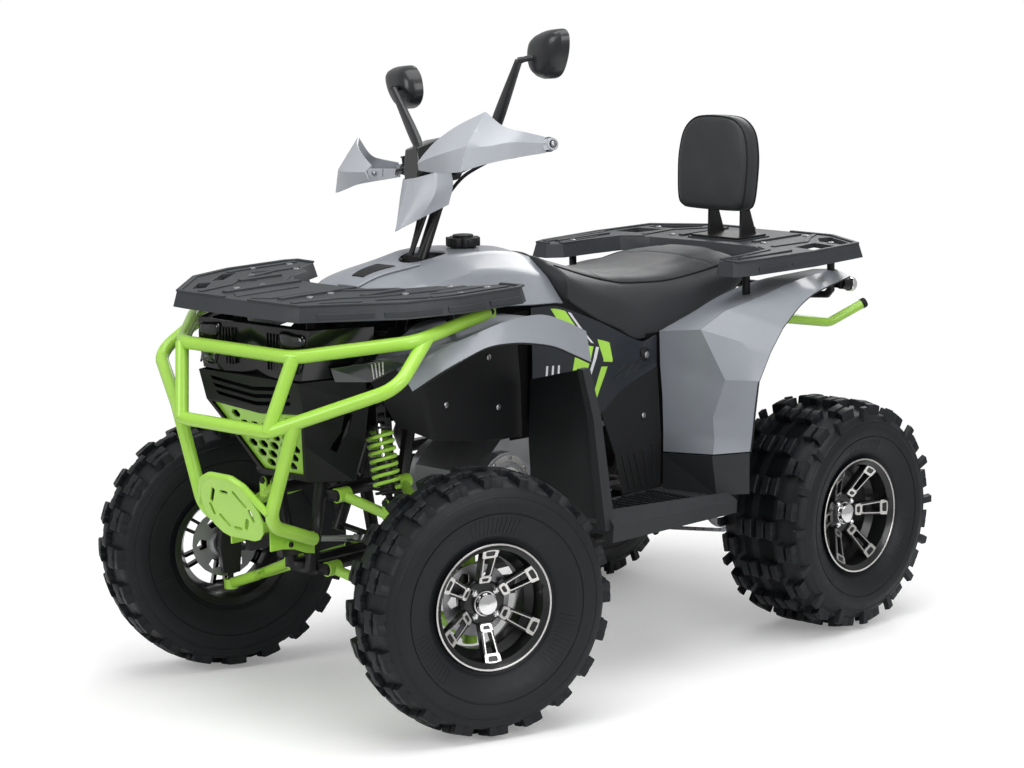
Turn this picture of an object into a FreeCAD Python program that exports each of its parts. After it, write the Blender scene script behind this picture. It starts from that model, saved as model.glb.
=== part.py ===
import FreeCAD, Part
import math
import os

# Quad bike with steered front wheels, a chain-driven rear axle, two racks and a backrest.
# Millimetres. +X is forward, +Y is the rider's left, +Z is up.
# The origin is on the ground, midway between the axles.

# Driving dimensions: running gear
WHEELBASE = 1223.0
FRONT_TRACK = 890.0
REAR_TRACK = 832.0
FRONT_TYRE_R = 292.0
FRONT_TYRE_W = 178.0
REAR_TYRE_R = 280.0
REAR_TYRE_W = 254.0
RIM_FLANGE_R = 140.0
RIM_SEAT_R = 128.0
RIM_WELL_R = 110.0
RIM_WALL = 5.0
FRONT_RIM_HALF = 72.0
REAR_RIM_HALF = 105.0
KINGPIN_INSET = 50.0
FRONT_TREAD_PITCHES = 20
REAR_TREAD_PITCHES = 16
FRONT_LUG_H = 15.0
REAR_LUG_H = 19.0
SHAFT_FIT = 0.05
SEAT_GAP = 0.3
SCREW_R = 8.0

# Driving dimensions: steering
COLUMN_TILT = 26.0
COLUMN_X = 300.0
COLUMN_Z = 1062.0
COLUMN_R = 14.0
BAR_REST_ANGLE = -20.5
LEFT_REST_ANGLE = -18.2
RIGHT_REST_ANGLE = -22.8
PITMAN_ARM = 62.0
PITMAN_HALF = 20.0
PITMAN_Z = 400.0
STEERING_ARM = 60.0
ROD_EYE_Z = 300.0
ROD_R = 7.0

# Driving dimensions: tubes and sheet
FLOOR_Z = 384.0
FRAME_R = 14.0
BUMPER_R = 15.0
ARM_R = 12.0
PANEL_T = 3.5
BAR_R = 11.0

# Driving dimensions: tread. Each row of lugs has its length, inner edge, outer edge and share of a pitch
CENTRE_RELIEF = 0.7
FRONT_FLAT_HALF = 25.0
REAR_FLAT_HALF = 62.0
FRONT_LUGS = [(54, -16, 16, 0.5), (48, 28, FRONT_TYRE_W / 2, 0.0)]
REAR_LUGS = [(46, 8, 54, 0.0), (46, 64, REAR_TYRE_W / 2, 0.5)]

# Driving dimensions: hubs and knuckles
AXLE_STUB_R = 12.5
HUB_PLATE_T = 14.0
FRONT_HUB_FACE = 22.0
REAR_HUB_FACE = 50.0
DISC_OFFSET = -16.0
DISC_R = 80.0
DISC_HOLE_R = 13.0
PIN_R = 7.0
STUD_R = 4.0
CALIPER_BACK = -31.0

# Driving dimensions: suspension
LOWER_PIVOT_Z = 322.0
UPPER_PIVOT_Z = 494.0
LOWER_PIVOT_Y = 62.0
UPPER_PIVOT_Y = 100.0
FRONT_PIVOT_X = 735.0
REAR_PIVOT_X = 490.0
ARM_NODE_Y = 300.0
PIVOT_INSET = 30.0
PIVOT_BOLT_R = 6.0
SHOCK_BOLT_R = 5.0
SHOCK_TOP = (650.0, 162.0, 662.0)
SHOCK_BOTTOM = (656.0, 202.0, 482.0)
SPRING_R = 27.5
SPRING_WIRE = 4.5
SPRING_TURNS = 7.5
SHOCK_EYE_HALF = 10.0
EAR_IN = SHOCK_EYE_HALF + SEAT_GAP
EAR_OUT = EAR_IN + 4.0
LINKS_PER_TURN = 7

# Driving dimensions: frame
ENGINE_RAIL_Y = 130.0
LOW_RAIL_Z = 262.0
TOP_RAIL_Z = 800.0
TAIL_RAIL_Z = 775.0
SWING_PIVOT_X = -354.0
SWING_PIVOT_Z = 330.0
RACK_UNDERSIDE_Z = 933.0
REAR_RACK_UNDERSIDE_Z = 896.0
FRONT_POST = (800.0, 120.0)
REAR_POST = (505.0, 250.0)
TAIL_POST_X = (-470.0, -800.0)
TAIL_POST_Y = 285.0
POST_R = 9.0
FOOT_BAR_X = (110.0, -130.0)
FOOT_BAR_R = 8.0
LOWER_BEARING_Z = 494.0
UPPER_BEARING_Z = 800.0
REAR_SHOCK_TOP = (-430.0, 0.0, 672.0)
REAR_SHOCK_BOTTOM = (-505.0, 0.0, 400.0)
AXLE_R = 17.0
CARRIER_R = 40.0
CARRIER_HALF = 68.0
PIVOT_HALF = 95.0

# Driving dimensions: rear axle
SPROCKET_Y = 92.0
SPROCKET_R = 88.0
REAR_DISC_R = 95.0
ENGINE_SPROCKET = (-20.0, 340.0)
ENGINE_SPROCKET_R = 28.0
CHAIN_T = 9.0

# Driving dimensions: bumper
BUMPER_PLATE_Y = 62.0
HOOP_TOP_BEND = (909.0, 182.0, 835.0)
HOOP_TOP_CORNER = (719.0, 360.0, 862.0)
HOOP_TOP_END = (463.0, 322.0, 889.0)
HOOP_MID_BEND = (952.0, 141.0, 675.0)
HOOP_MID_CORNER = (804.0, 390.0, 776.0)
HOOP_MID_END = (680.0, 354.0, 862.0)
LEG_TOP = (921.0, 193.0, 696.0)
LEG_KNEE = (926.0, 104.0, 462.0)
LEG_END = (772.0, 78.0, 402.0)
SKID_CENTRE = (938.0, 0.0, 489.0)
SKID_TILT = 24.0

# Driving dimensions: racks
FRONT_RACK_T = 12.0
REAR_RACK_T = 12.0
FRONT_RACK_HALF = [
    (622, 40), (616, 120), (575, 170), (500, 205), (468, 262), (392, 300), (385, 368), (420, 392),
    (600, 392), (740, 352), (912, 205), (918, 150),
]
FRONT_RACK_TOP_Z = RACK_UNDERSIDE_Z + FRONT_RACK_T
REAR_RACK_HALF = [
    (-640, 40), (-632, 170), (-590, 228), (-500, 242), (-400, 250), (-366, 282), (-368, 330), (-420, 352),
    (-640, 368), (-840, 355), (-930, 200), (-935, 60),
]
REAR_RACK_TOP_Z = REAR_RACK_UNDERSIDE_Z + REAR_RACK_T
RACK_PAD_T = 4.0

# Driving dimensions: body panels
COVER_HOLE_R = 50.0
CAP_X = 209.0
CAP_Z = 987.5
NECK_R = 24.0
SEAT_RAIL_Y = 127.2

# Driving dimensions: nose
NOSE_LOW = (530.0, 781.0)
NOSE_HIGH = (704.0, 864.0)
NOSE_BOW = 6.0
GRILLE_OUTLINE = [(-146, 700), (0, 686), (146, 700), (67, 545), (-67, 545)]
GRILLE_T = 7.0
CELL_PITCH = 35.0

# Driving dimensions: seat and backrest
BACKREST_TILT = -5.0

# Driving dimensions: bar and mirrors
BAR_CLAMP_Z = 1158.0
GRIP_START = 235.0
BAR_END = 372.0
CLAMP_R = 21.0
MIRROR_BASE = (226.0, 182.0, 1220.7)
MIRROR_JOINT = (210.0, 328.0, 1381.0)
MIRROR_HEAD = (167.0, 373.0, 1388.0)

# Driving dimensions: cables along the bar
CABLE_R = 4.0
CABLE_END_Z = 955.0

# Places that follow from the driving dimensions
FRONT_X = WHEELBASE / 2
REAR_X = -WHEELBASE / 2
KINGPIN_Y = FRONT_TRACK / 2 - KINGPIN_INSET
UPPER_BALL_Z = FRONT_TYRE_R + 80.0
LOWER_BALL_Z = FRONT_TYRE_R - 92.0


def vec(x, y, z):
    return FreeCAD.Vector(x, y, z)


X_AXIS = vec(1, 0, 0)
Y_AXIS = vec(0, 1, 0)
Z_AXIS = vec(0, 0, 1)
ORIGIN = vec(0, 0, 0)


# Shape helpers

def mirrored(shape):
    return shape.mirror(ORIGIN, Y_AXIS)


def both_sides(shape):
    return Part.makeCompound([shape, mirrored(shape)])


def fused(shapes):
    result = shapes[0]
    if len(shapes) > 1:
        result = result.multiFuse(shapes[1:])
    return result.removeSplitter()


def turned(shape, base, axis, degrees):
    copy = shape.copy()
    copy.rotate(base, axis, degrees)
    return copy


def moved(shape, offset):
    copy = shape.copy()
    copy.translate(offset)
    return copy


def block(x0, x1, y0, y1, z0, z1):
    return Part.makeBox(x1 - x0, y1 - y0, z1 - z0, vec(x0, y0, z0))


def rod(start, end, radius):
    axis = vec(*end) - vec(*start)
    return Part.makeCylinder(radius, axis.Length, vec(*start), axis)


def prism(points, sweep):
    corners = [vec(*p) for p in points]
    outline = Part.makePolygon(corners + [corners[0]])
    return Part.Face(outline).extrude(vec(*sweep))


def flat_face(corners):
    return Part.Face(Part.makePolygon(corners + [corners[0]]))


def flat_faces(corners):
    """One face where the corners lie in a plane, or else triangles from the first corner."""
    normal = (corners[1] - corners[0]).cross(corners[2] - corners[0])
    if normal.Length > 1e-6:
        normal.normalize()
        heights = [abs((point - corners[0]).dot(normal)) for point in corners]
        if max(heights) < 1e-6:
            return [flat_face(corners)]
    faces = []
    for second, third in zip(corners[1:], corners[2:]):
        if (second - corners[0]).cross(third - corners[0]).Length > 1e-6:
            faces.append(flat_face([corners[0], second, third]))
    return faces


def closed_solid(faces):
    shell = Part.Shell(faces)
    shell.sewShape()
    solid = Part.Solid(shell)
    if solid.Volume < 0:
        solid.reverse()
    return solid


def skin(sections):
    """A solid through sections with the same number of corners, with flat faces between them."""
    rings = [[vec(*p) for p in section] for section in sections]
    faces = flat_faces(rings[0]) + flat_faces(rings[-1])
    count = len(rings[0])
    for low, high in zip(rings, rings[1:]):
        for k in range(count):
            n = (k + 1) % count
            faces.extend(flat_faces([low[k], low[n], high[n], high[k]]))
    return closed_solid(faces).removeSplitter()


def bar(start, end, radius, sides=6):
    """A straight bar with flat sides."""
    return tube([start, end], radius, 0, sides)


def bent_path(points, bend, chords):
    """The points of a line whose corners are rounded off by the chords that touch its bend radius."""
    corners = [vec(*p) for p in points]
    path = [corners[0]]
    for before, corner, after in zip(corners, corners[1:], corners[2:]):
        into = (corner - before).normalize()
        out = (after - corner).normalize()
        turn = into.getAngle(out)
        if turn < 0.01:
            continue
        inward = (out - into).normalize()
        forward = (out + into).normalize()
        centre = corner + inward * (bend / math.cos(turn / 2))
        reach = bend / math.cos(turn / 2 / chords)
        for k in range(chords):
            angle = turn * ((k + 0.5) / chords - 0.5)
            path.append(centre - inward * (reach * math.cos(angle)) + forward * (reach * math.sin(angle)))
    path.append(corners[-1])
    return path


def corner_reach(radius, sides=6):
    """From a flat-sided bar's centre line to its edges. The bar has about the round bar's section."""
    return radius / math.sqrt(math.cos(math.pi / sides))


def flat_reach(radius, sides=6):
    """From a flat-sided bar's centre line to its flats, one of which is on top."""
    return radius * math.sqrt(math.cos(math.pi / sides))


def tube(points, radius, bend, sides=6, chords=2):
    """A bent tube with flat sides, mitred where its direction changes."""
    path = bent_path(points, bend, chords)
    runs = []
    for a, b in zip(path, path[1:]):
        runs.append((b - a).normalize())
    side = runs[0].cross(Z_AXIS if abs(runs[0].z) < 0.9 else X_AXIS).normalize()
    up = side.cross(runs[0])
    reach = corner_reach(radius, sides)
    first = 0.5 if sides % 4 == 0 else 0.0
    outline = []
    for k in range(sides):
        angle = 2 * math.pi * (k + first) / sides
        outline.append(path[0] + side * (reach * math.cos(angle)) + up * (reach * math.sin(angle)))
    faces = [flat_face(outline[::-1])]
    for k, run in enumerate(runs):
        mitre = run
        if k + 1 < len(runs):
            mitre = run + runs[k + 1]
        following = []
        for point in outline:
            distance = (path[k + 1] - point).dot(mitre) / run.dot(mitre)
            following.append(point + run * distance)
        for m in range(sides):
            n = (m + 1) % sides
            faces.append(flat_face([outline[m], outline[n], following[n], following[m]]))
        outline = following
    faces.append(flat_face(outline))
    return closed_solid(faces)


def closed_mesh(triangles):
    faces = []
    for triangle in triangles:
        corners = [vec(*p) for p in triangle]
        normal = (corners[1] - corners[0]).cross(corners[2] - corners[0])
        if normal.Length > 1e-6:
            faces.append(flat_face(corners))
    return closed_solid(faces).removeSplitter()


def panel(rows, thickness=PANEL_T):
    """A creased sheet: a grid of points, thickened behind its face, the side that the rows and columns
    wind away from.
    """
    grid = [[vec(*p) for p in row] for row in rows]
    last_row = len(grid) - 1
    last_col = len(grid[0]) - 1
    back = []
    for i, row in enumerate(grid):
        line = []
        for j, point in enumerate(row):
            along = grid[min(i + 1, last_row)][j] - grid[max(i - 1, 0)][j]
            across = row[min(j + 1, last_col)] - row[max(j - 1, 0)]
            line.append(point - along.cross(across).normalize() * thickness)
        back.append(line)
    triangles = []
    for i in range(last_row):
        for j in range(last_col):
            for sheet, flip in ((grid, False), (back, True)):
                a, b, c, d = sheet[i][j], sheet[i + 1][j], sheet[i + 1][j + 1], sheet[i][j + 1]
                pair = [(a, b, c), (a, c, d)]
                if flip:
                    pair = [(c, b, a), (d, c, a)]
                triangles.extend(pair)
    edge = [(0, j) for j in range(last_col)]
    edge += [(i, last_col) for i in range(last_row)]
    edge += [(last_row, j) for j in range(last_col, 0, -1)]
    edge += [(i, 0) for i in range(last_row, 0, -1)]
    for (i, j), (k, m) in zip(edge, edge[1:] + edge[:1]):
        triangles.append((grid[i][j], grid[k][m], back[k][m]))
        triangles.append((grid[i][j], back[k][m], back[i][j]))
    return closed_mesh(triangles)


def full_width(half_rows):
    """Rows given from the centre line to the left side, completed with their mirror image."""
    rows = []
    for row in half_rows:
        right = [(x, -y, z) for x, y, z in reversed(row[1:])]
        rows.append(right + list(row))
    return rows


def wheel_ring(profile, facets):
    """A closed profile of (offset, radius) points turned about the Y axis, with flat facets and one at the
    bottom.
    """
    step = 2 * math.pi / facets
    faces = []
    for k in range(facets):
        first = -math.pi / 2 + step * (k - 0.5)
        for (w0, r0), (w1, r1) in zip(profile, profile[1:] + profile[:1]):
            quad = []
            for w, r, angle in ((w0, r0, first), (w1, r1, first), (w1, r1, first + step),
                                (w0, r0, first + step)):
                reach = r / math.cos(step / 2)
                quad.append(vec(reach * math.cos(angle), w, reach * math.sin(angle)))
            faces.append(flat_face(quad))
    return closed_solid(faces)


def tread_lug(length, near, far, low, high):
    """A tapered tread block above the hub, from the offset near to the offset far; low and high are radii
    at its two edges.
    """
    taper = 2.5
    half = length / 2
    rings = []
    for inset, (r_near, r_far) in ((0, low), (taper, high)):
        rings.append([(-half + inset, near + inset, r_near), (half - inset, near + inset, r_near),
                      (half - inset, far - inset, r_far), (-half + inset, far - inset, r_far)])
    return skin(rings)


def round_the_wheel(lug, count, phase):
    """Copies of a lug at even angles about the Y axis, the first one pointing down where the phase is 0."""
    return [turned(lug, ORIGIN, Y_AXIS, 180 + 360.0 * (k + phase) / count) for k in range(count)]


# Wheels, built about the Y axis with their outer side towards +Y

def tyre(radius, width, rim_half, lug_height, pitches, flat_half, lugs):
    """Hollow tyre with beads on the rim's seats. lugs holds (length, near, far, phase) for each row of
    tread blocks.
    """
    half = width / 2
    bead = rim_half - 11.0
    crown = radius - lug_height
    shoulder_w = half * 0.88
    shoulder = crown - 14.0
    outer = [
        (bead, RIM_SEAT_R + SEAT_GAP), (bead + 2, RIM_FLANGE_R + 3.0), (half, radius - 70.0),
        (shoulder_w, shoulder),
        (flat_half, crown),
    ]
    inner = [(half * 0.66, crown - 18.0), (bead - 11.0, RIM_SEAT_R + SEAT_GAP)]
    outer_right = [(-w, r) for w, r in reversed(outer)]
    inner_right = [(-w, r) for w, r in reversed(inner)]
    pieces = [wheel_ring(outer + outer_right + inner_right + inner, pitches)]
    for length, near, far, phase in lugs:
        lean = 10.0 if far > flat_half else 0.0
        sunk = 4.0
        low = (crown - sunk, crown - sunk - lean)
        tip = radius - CENTRE_RELIEF if near < 0 else radius
        lug = tread_lug(length, near, far, low, (tip, tip - lean))
        pieces += round_the_wheel(lug, pitches, phase)
        if near > 0:
            pieces += round_the_wheel(mirrored(lug), pitches, phase)
    return fused(pieces)


def rim(half, face, facets, first_angle):
    """Barrel with flanges, a hub plate with a cap, and six loops that lean out from the plate to the outer
    flange.
    """
    well = half - 40.0
    outer = [
        (-half, RIM_FLANGE_R), (-half + 9, RIM_SEAT_R), (-well, RIM_SEAT_R), (-well + 10, RIM_WELL_R),
        (well - 26, RIM_WELL_R), (well - 12, RIM_SEAT_R), (half - 9, RIM_SEAT_R), (half, RIM_FLANGE_R),
    ]
    inner = [
        (half - 4, RIM_FLANGE_R - 8), (half - 10, RIM_SEAT_R - RIM_WALL), (well - 24, RIM_WELL_R - RIM_WALL),
        (-well + 8, RIM_WELL_R - RIM_WALL), (-half + 6, RIM_SEAT_R - RIM_WALL),
    ]
    pieces = [wheel_ring(outer + inner, facets)]
    pieces.append(bar((0, face - HUB_PLATE_T, 0), (0, face, 0), 50, 12))
    pieces.append(bar((0, face - 5, 0), (0, face + 22, 0), 26, 10))
    reach = RIM_SEAT_R - 2
    high = half - 10
    for k in range(6):
        loop = skin([
            [(42, face - 14, -15), (42, face + 3, -15), (42, face + 3, 15), (42, face - 14, 15)],
            [(reach, high - 20, -19), (reach, high, -19), (reach, high, 19), (reach, high - 20, 19)],
        ])
        loop = loop.cut(prism([(58, -half, -8), (110, -half, -11), (110, -half, 11), (58, -half, 8)],
                              (0, 2 * half, 0)))
        pieces.append(turned(loop, ORIGIN, Y_AXIS, 60 * k + first_angle))
    return fused(pieces)


def placed_left(shape):
    """From the wheel's own frame to the straight-ahead left front wheel, then turned to its rest angle."""
    straight = moved(shape, vec(FRONT_X, FRONT_TRACK / 2, FRONT_TYRE_R))
    return turned(straight, vec(FRONT_X, KINGPIN_Y, 0), Z_AXIS, LEFT_REST_ANGLE)


def placed_right(shape):
    straight = mirrored(moved(shape, vec(FRONT_X, FRONT_TRACK / 2, FRONT_TYRE_R)))
    return turned(straight, vec(FRONT_X, -KINGPIN_Y, 0), Z_AXIS, RIGHT_REST_ANGLE)


def front_hub():
    """Hub on the stub axle, its flange against the rim, and the brake disc with its six holes on its inner
    end.
    """
    joint = FRONT_HUB_FACE - HUB_PLATE_T - SEAT_GAP
    body = bar((0, DISC_OFFSET - 4, 0), (0, joint, 0), 30, 12)
    disc = bar((0, DISC_OFFSET - 2, 0), (0, DISC_OFFSET + 2, 0), DISC_R, 22)
    for k in range(6):
        angle = math.radians(60 * k)
        x, z = 56 * math.cos(angle), 56 * math.sin(angle)
        disc = disc.cut(bar((x, DISC_OFFSET - 9, z), (x, DISC_OFFSET + 9, z), DISC_HOLE_R, 5))
    bore = rod((0, DISC_OFFSET - 8, 0), (0, joint - 3, 0), AXLE_STUB_R + SHAFT_FIT)
    return fused([body, disc]).cut(bore)


def knuckle():
    """Upright between the ball joints, with the stub axle, the rear-pointing steering arm and the brake
    caliper.
    """
    inset = -KINGPIN_INSET
    low = LOWER_BALL_Z - FRONT_TYRE_R
    high = UPPER_BALL_Z - FRONT_TYRE_R
    sections = []
    for z, half_x, out in ((low + 28, 20, 12), (0, 26, 18), (high - 13, 16, 12)):
        sections.append([(-half_x, inset - 12, z), (half_x, inset - 12, z), (half_x, inset + out, z),
                         (-half_x, inset + out, z)])
    upright = skin(sections)
    pins = [
        rod((0, inset, low - 11), (0, inset, low + 34), PIN_R),
        rod((0, inset, high - 20), (0, inset, high + 11), PIN_R),
    ]
    stub = rod((0, inset, 0), (0, FRONT_HUB_FACE - HUB_PLATE_T - 5, 0), AXLE_STUB_R)
    eye_z = ROD_EYE_Z - FRONT_TYRE_R
    arm = block(-STEERING_ARM - 9, -12, inset - 9, inset + 9, eye_z - 22, eye_z - 12)
    bracket = block(-80, -14, inset - 2, CALIPER_BACK - SEAT_GAP, 22, 38)
    stud = rod((-STEERING_ARM, inset, eye_z - 14), (-STEERING_ARM, inset, eye_z + 9), STUD_R)
    body = fused([upright, stub, arm, bracket, stud] + pins)
    return Part.makeCompound([body, caliper()])


def caliper():
    """Caliper over the disc's rear edge, bolted to the upright's bracket."""
    body = block(-89, -54, CALIPER_BACK, -1, 6, 42)
    slot = bar((0, DISC_OFFSET - 4, 0), (0, DISC_OFFSET + 4, 0), DISC_R + 4, 22)
    return body.cut(slot)


# Suspension


def wishbone(pivot_y, pivot_z, ball_z, node_z):
    """Two legs from the frame pivots to a stub that ends in the ball joint's housing."""
    node = (FRONT_X, ARM_NODE_Y, node_z)
    ball = (FRONT_X, KINGPIN_Y, ball_z)
    front = (FRONT_PIVOT_X - PIVOT_INSET, pivot_y, pivot_z)
    rear = (REAR_PIVOT_X + PIVOT_INSET, pivot_y, pivot_z)
    pieces = [bar(front, node, ARM_R), bar(rear, node, ARM_R), bar(node, ball, ARM_R + 1)]
    holes = []
    for x, y, z in (front, rear):
        pieces.append(bar((x - 18, y, z), (x + 18, y, z), 17, 8))
        holes.append(bar((x - 30, y, z), (x + 30, y, z), PIVOT_BOLT_R + SEAT_GAP))
    pieces.append(bar((ball[0], ball[1], ball_z - 11), (ball[0], ball[1], ball_z + 11), 17, 8))
    holes.append(rod((ball[0], ball[1], ball_z - 24), (ball[0], ball[1], ball_z + 24), PIN_R + SHAFT_FIT))
    return fused(pieces).cut(holes)


def upper_wishbone():
    """The upper arm, with the ears and the bolt that carry the damper's lower eye."""
    node_z = UPPER_BALL_Z + (UPPER_PIVOT_Z - UPPER_BALL_Z) * 0.32
    body = wishbone(UPPER_PIVOT_Y, UPPER_PIVOT_Z, UPPER_BALL_Z, node_z)
    x, y, z = SHOCK_BOTTOM
    ears = [
        block(x - EAR_OUT, x - EAR_IN, y - 11, y + 11, z - 38, z + 8),
        block(x + EAR_IN, x + EAR_OUT, y - 11, y + 11, z - 38, z + 8),
        bar((x - EAR_OUT + 1, y, z), (x + EAR_OUT - 1, y, z), SHOCK_BOLT_R),
    ]
    return fused([body] + ears)


def lower_wishbone():
    node_z = LOWER_BALL_Z + (LOWER_PIVOT_Z - LOWER_BALL_Z) * 0.28
    return wishbone(LOWER_PIVOT_Y, LOWER_PIVOT_Z, LOWER_BALL_Z, node_z)


def along(start, end, distance):
    line = vec(*end) - vec(*start)
    point = vec(*start) + line.normalize() * distance
    return (point.x, point.y, point.z)


def shock(top, bottom, across, scale=1.0):
    """Damper body below, polished rod above, a spring seat at each end, and eyes whose bolts lie along
    across.
    """
    length = (vec(*bottom) - vec(*top)).Length

    def at(distance):
        return along(top, bottom, distance)

    pieces = [
        bar(at(10), at(length * 0.55), 7 * scale),
        bar(at(length * 0.45), at(length - 17), 17 * scale, 8),
        bar(at(length * 0.6), at(length - 6), 8 * scale),
        bar(at(16), at(22), 30 * scale, 12),
        bar(at(length - 26), at(length - 20), 30 * scale, 12),
    ]
    bolts = []
    for end in (top, bottom):
        centre = vec(*end)
        for half, radius, made in ((SHOCK_EYE_HALF, 12, pieces), (20, SHOCK_BOLT_R + SEAT_GAP, bolts)):
            low = centre - across * half
            high = centre + across * half
            made.append(bar((low.x, low.y, low.z), (high.x, high.y, high.z), radius,
                            6 if made is bolts else 8))
    return fused(pieces).cut(bolts)


def coil_spring(top, bottom, radius, wire, turns):
    """A helical spring as a chain of straight four-sided links."""
    start = vec(*along(top, bottom, 22 + wire + SEAT_GAP))
    end = vec(*along(bottom, top, 26 + wire + SEAT_GAP))
    axis = (end - start).normalize()
    side = axis.cross(vec(1, 0, 0)).normalize()
    front = axis.cross(side)
    travel = (end - start).Length
    steps = int(turns * LINKS_PER_TURN)
    rings = []
    for k in range(steps + 1):
        angle = 2 * math.pi * turns * k / steps
        outward = side * math.cos(angle) + front * math.sin(angle)
        centre = start + axis * (travel * k / steps) + outward * radius
        corners = []
        for m in range(4):
            turn = 2 * math.pi * m / 4
            corners.append(centre + outward * (wire * math.cos(turn)) + axis * (wire * math.sin(turn)))
        rings.append(corners)
    triangles = []
    for low, high in zip(rings, rings[1:]):
        for m in range(4):
            n = (m + 1) % 4
            triangles.append((low[m], low[n], high[n]))
            triangles.append((low[m], high[n], high[m]))
    for ring_points, flip in ((rings[0], True), (rings[-1], False)):
        for m in range(1, 3):
            cap = (ring_points[0], ring_points[m], ring_points[m + 1])
            triangles.append(cap[::-1] if flip else cap)
    return closed_mesh(triangles)


# Frame


def column_point(z):
    """The point of the steering column's centre line at height z."""
    return (COLUMN_X + (COLUMN_Z - z) * math.tan(math.radians(COLUMN_TILT)), 0.0, z)


def column_axis():
    tilt = math.radians(COLUMN_TILT)
    return vec(-math.sin(tilt), 0, math.cos(tilt))


def column_span(z, before, after):
    """Two points on the column's centre line, before and after the point at height z."""
    centre = vec(*column_point(z))
    low = centre - column_axis() * before
    high = centre + column_axis() * after
    return (low.x, low.y, low.z), (high.x, high.y, high.z)


def pivot_plates(x, y, z, rail_y):
    """Two plates that hold a wishbone pivot bolt to its rail."""
    plates = []
    for x0 in (x - 22.3, x + 18.3):
        plates.append(block(x0, x0 + 4, rail_y, y + 8, z - 12, z + 12))
    plates.append(bar((x - 22, y, z), (x + 22, y, z), PIVOT_BOLT_R))
    return plates


def frame_half():
    r = FRAME_R
    low_front = (FRONT_PIVOT_X + 5, 30, LOWER_PIVOT_Z)
    low_rear = (REAR_PIVOT_X - 5, 30, LOWER_PIVOT_Z)
    pieces = [
        tube([low_front, low_rear, (330, ENGINE_RAIL_Y, LOW_RAIL_Z),
              (-330, ENGINE_RAIL_Y, LOW_RAIL_Z), (-440, ENGINE_RAIL_Y, 310), (-700, 138, 752)], r, 60),
        tube([low_front, (740, 66, UPPER_PIVOT_Z), (730, 88, 650), (600, 98, 745), (430, 105, TOP_RAIL_Z),
              (150, 115, TOP_RAIL_Z), (-60, 125, 716), (-330, 130, 712), (-860, 140, TAIL_RAIL_Z)], r, 50),
        bar((740, 66, UPPER_PIVOT_Z), (REAR_PIVOT_X - 5, 66, UPPER_PIVOT_Z), r),
        tube([low_rear, (REAR_PIVOT_X - 5, 66, UPPER_PIVOT_Z), (455, 104, TOP_RAIL_Z)], r, 40),
        bar((-345, ENGINE_RAIL_Y, LOW_RAIL_Z), (-365, 130, 712), r),
    ]
    for pivot_x in (FRONT_PIVOT_X - PIVOT_INSET, REAR_PIVOT_X + PIVOT_INSET):
        pieces += pivot_plates(pivot_x, LOWER_PIVOT_Y, LOWER_PIVOT_Z, 30)
        pieces += pivot_plates(pivot_x, UPPER_PIVOT_Y, UPPER_PIVOT_Z, 66)
    x, y, z = SHOCK_TOP
    pieces.append(bar((x, 93, 708), (x, y + 12, z + 26), 10))
    pieces.append(block(x - EAR_OUT, x + EAR_OUT, y - 12, y + 12, z + 16, z + 30))
    pieces.append(block(x - EAR_OUT, x - EAR_IN, y - 12, y + 12, z - 12, z + 30))
    pieces.append(block(x + EAR_IN, x + EAR_OUT, y - 12, y + 12, z - 12, z + 30))
    pieces.append(bar((x - EAR_OUT + 1, y, z), (x + EAR_OUT - 1, y, z), SHOCK_BOLT_R))
    pieces.append(block(738, 850, 42, BUMPER_PLATE_Y - SEAT_GAP, 372, 400))
    top = RACK_UNDERSIDE_Z - SEAT_GAP
    pieces.append(tube([(728, 88, 640), (FRONT_POST[0], FRONT_POST[1], 760), FRONT_POST + (top,)], 9, 40))
    pieces.append(rear_post(POST_R))
    for x in TAIL_POST_X:
        pieces.append(tail_post(x, POST_R))
    drop = flat_reach(FOOT_BAR_R) + SEAT_GAP
    for x in FOOT_BAR_X:
        pieces.append(tube([(x, ENGINE_RAIL_Y, LOW_RAIL_Z), (x, 246, FLOOR_Z - 14.4 - drop),
                            (x, 430, FLOOR_Z - 21.4 - drop)],
                           FOOT_BAR_R, 24))
    return pieces


def rear_post(radius):
    """The front rack's rear post on the left: out from the top rail, then up to the rack's underside."""
    top = RACK_UNDERSIDE_Z - SEAT_GAP
    return tube([(430, 105, TOP_RAIL_Z), (460, 205, 815), REAR_POST + (846,), REAR_POST + (top,)], radius, 24)


def tail_post(x, radius):
    """One of the rear rack's posts on the left: out from the tail rail, then up to the rack's underside."""
    rail_z = 712 + (TAIL_RAIL_Z - 712) * (-330 - x) / 530
    top = REAR_RACK_UNDERSIDE_Z - SEAT_GAP
    return tube([(x, 134, rail_z), (x, TAIL_POST_Y, rail_z + 12), (x, TAIL_POST_Y, top)], radius, 24)


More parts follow.
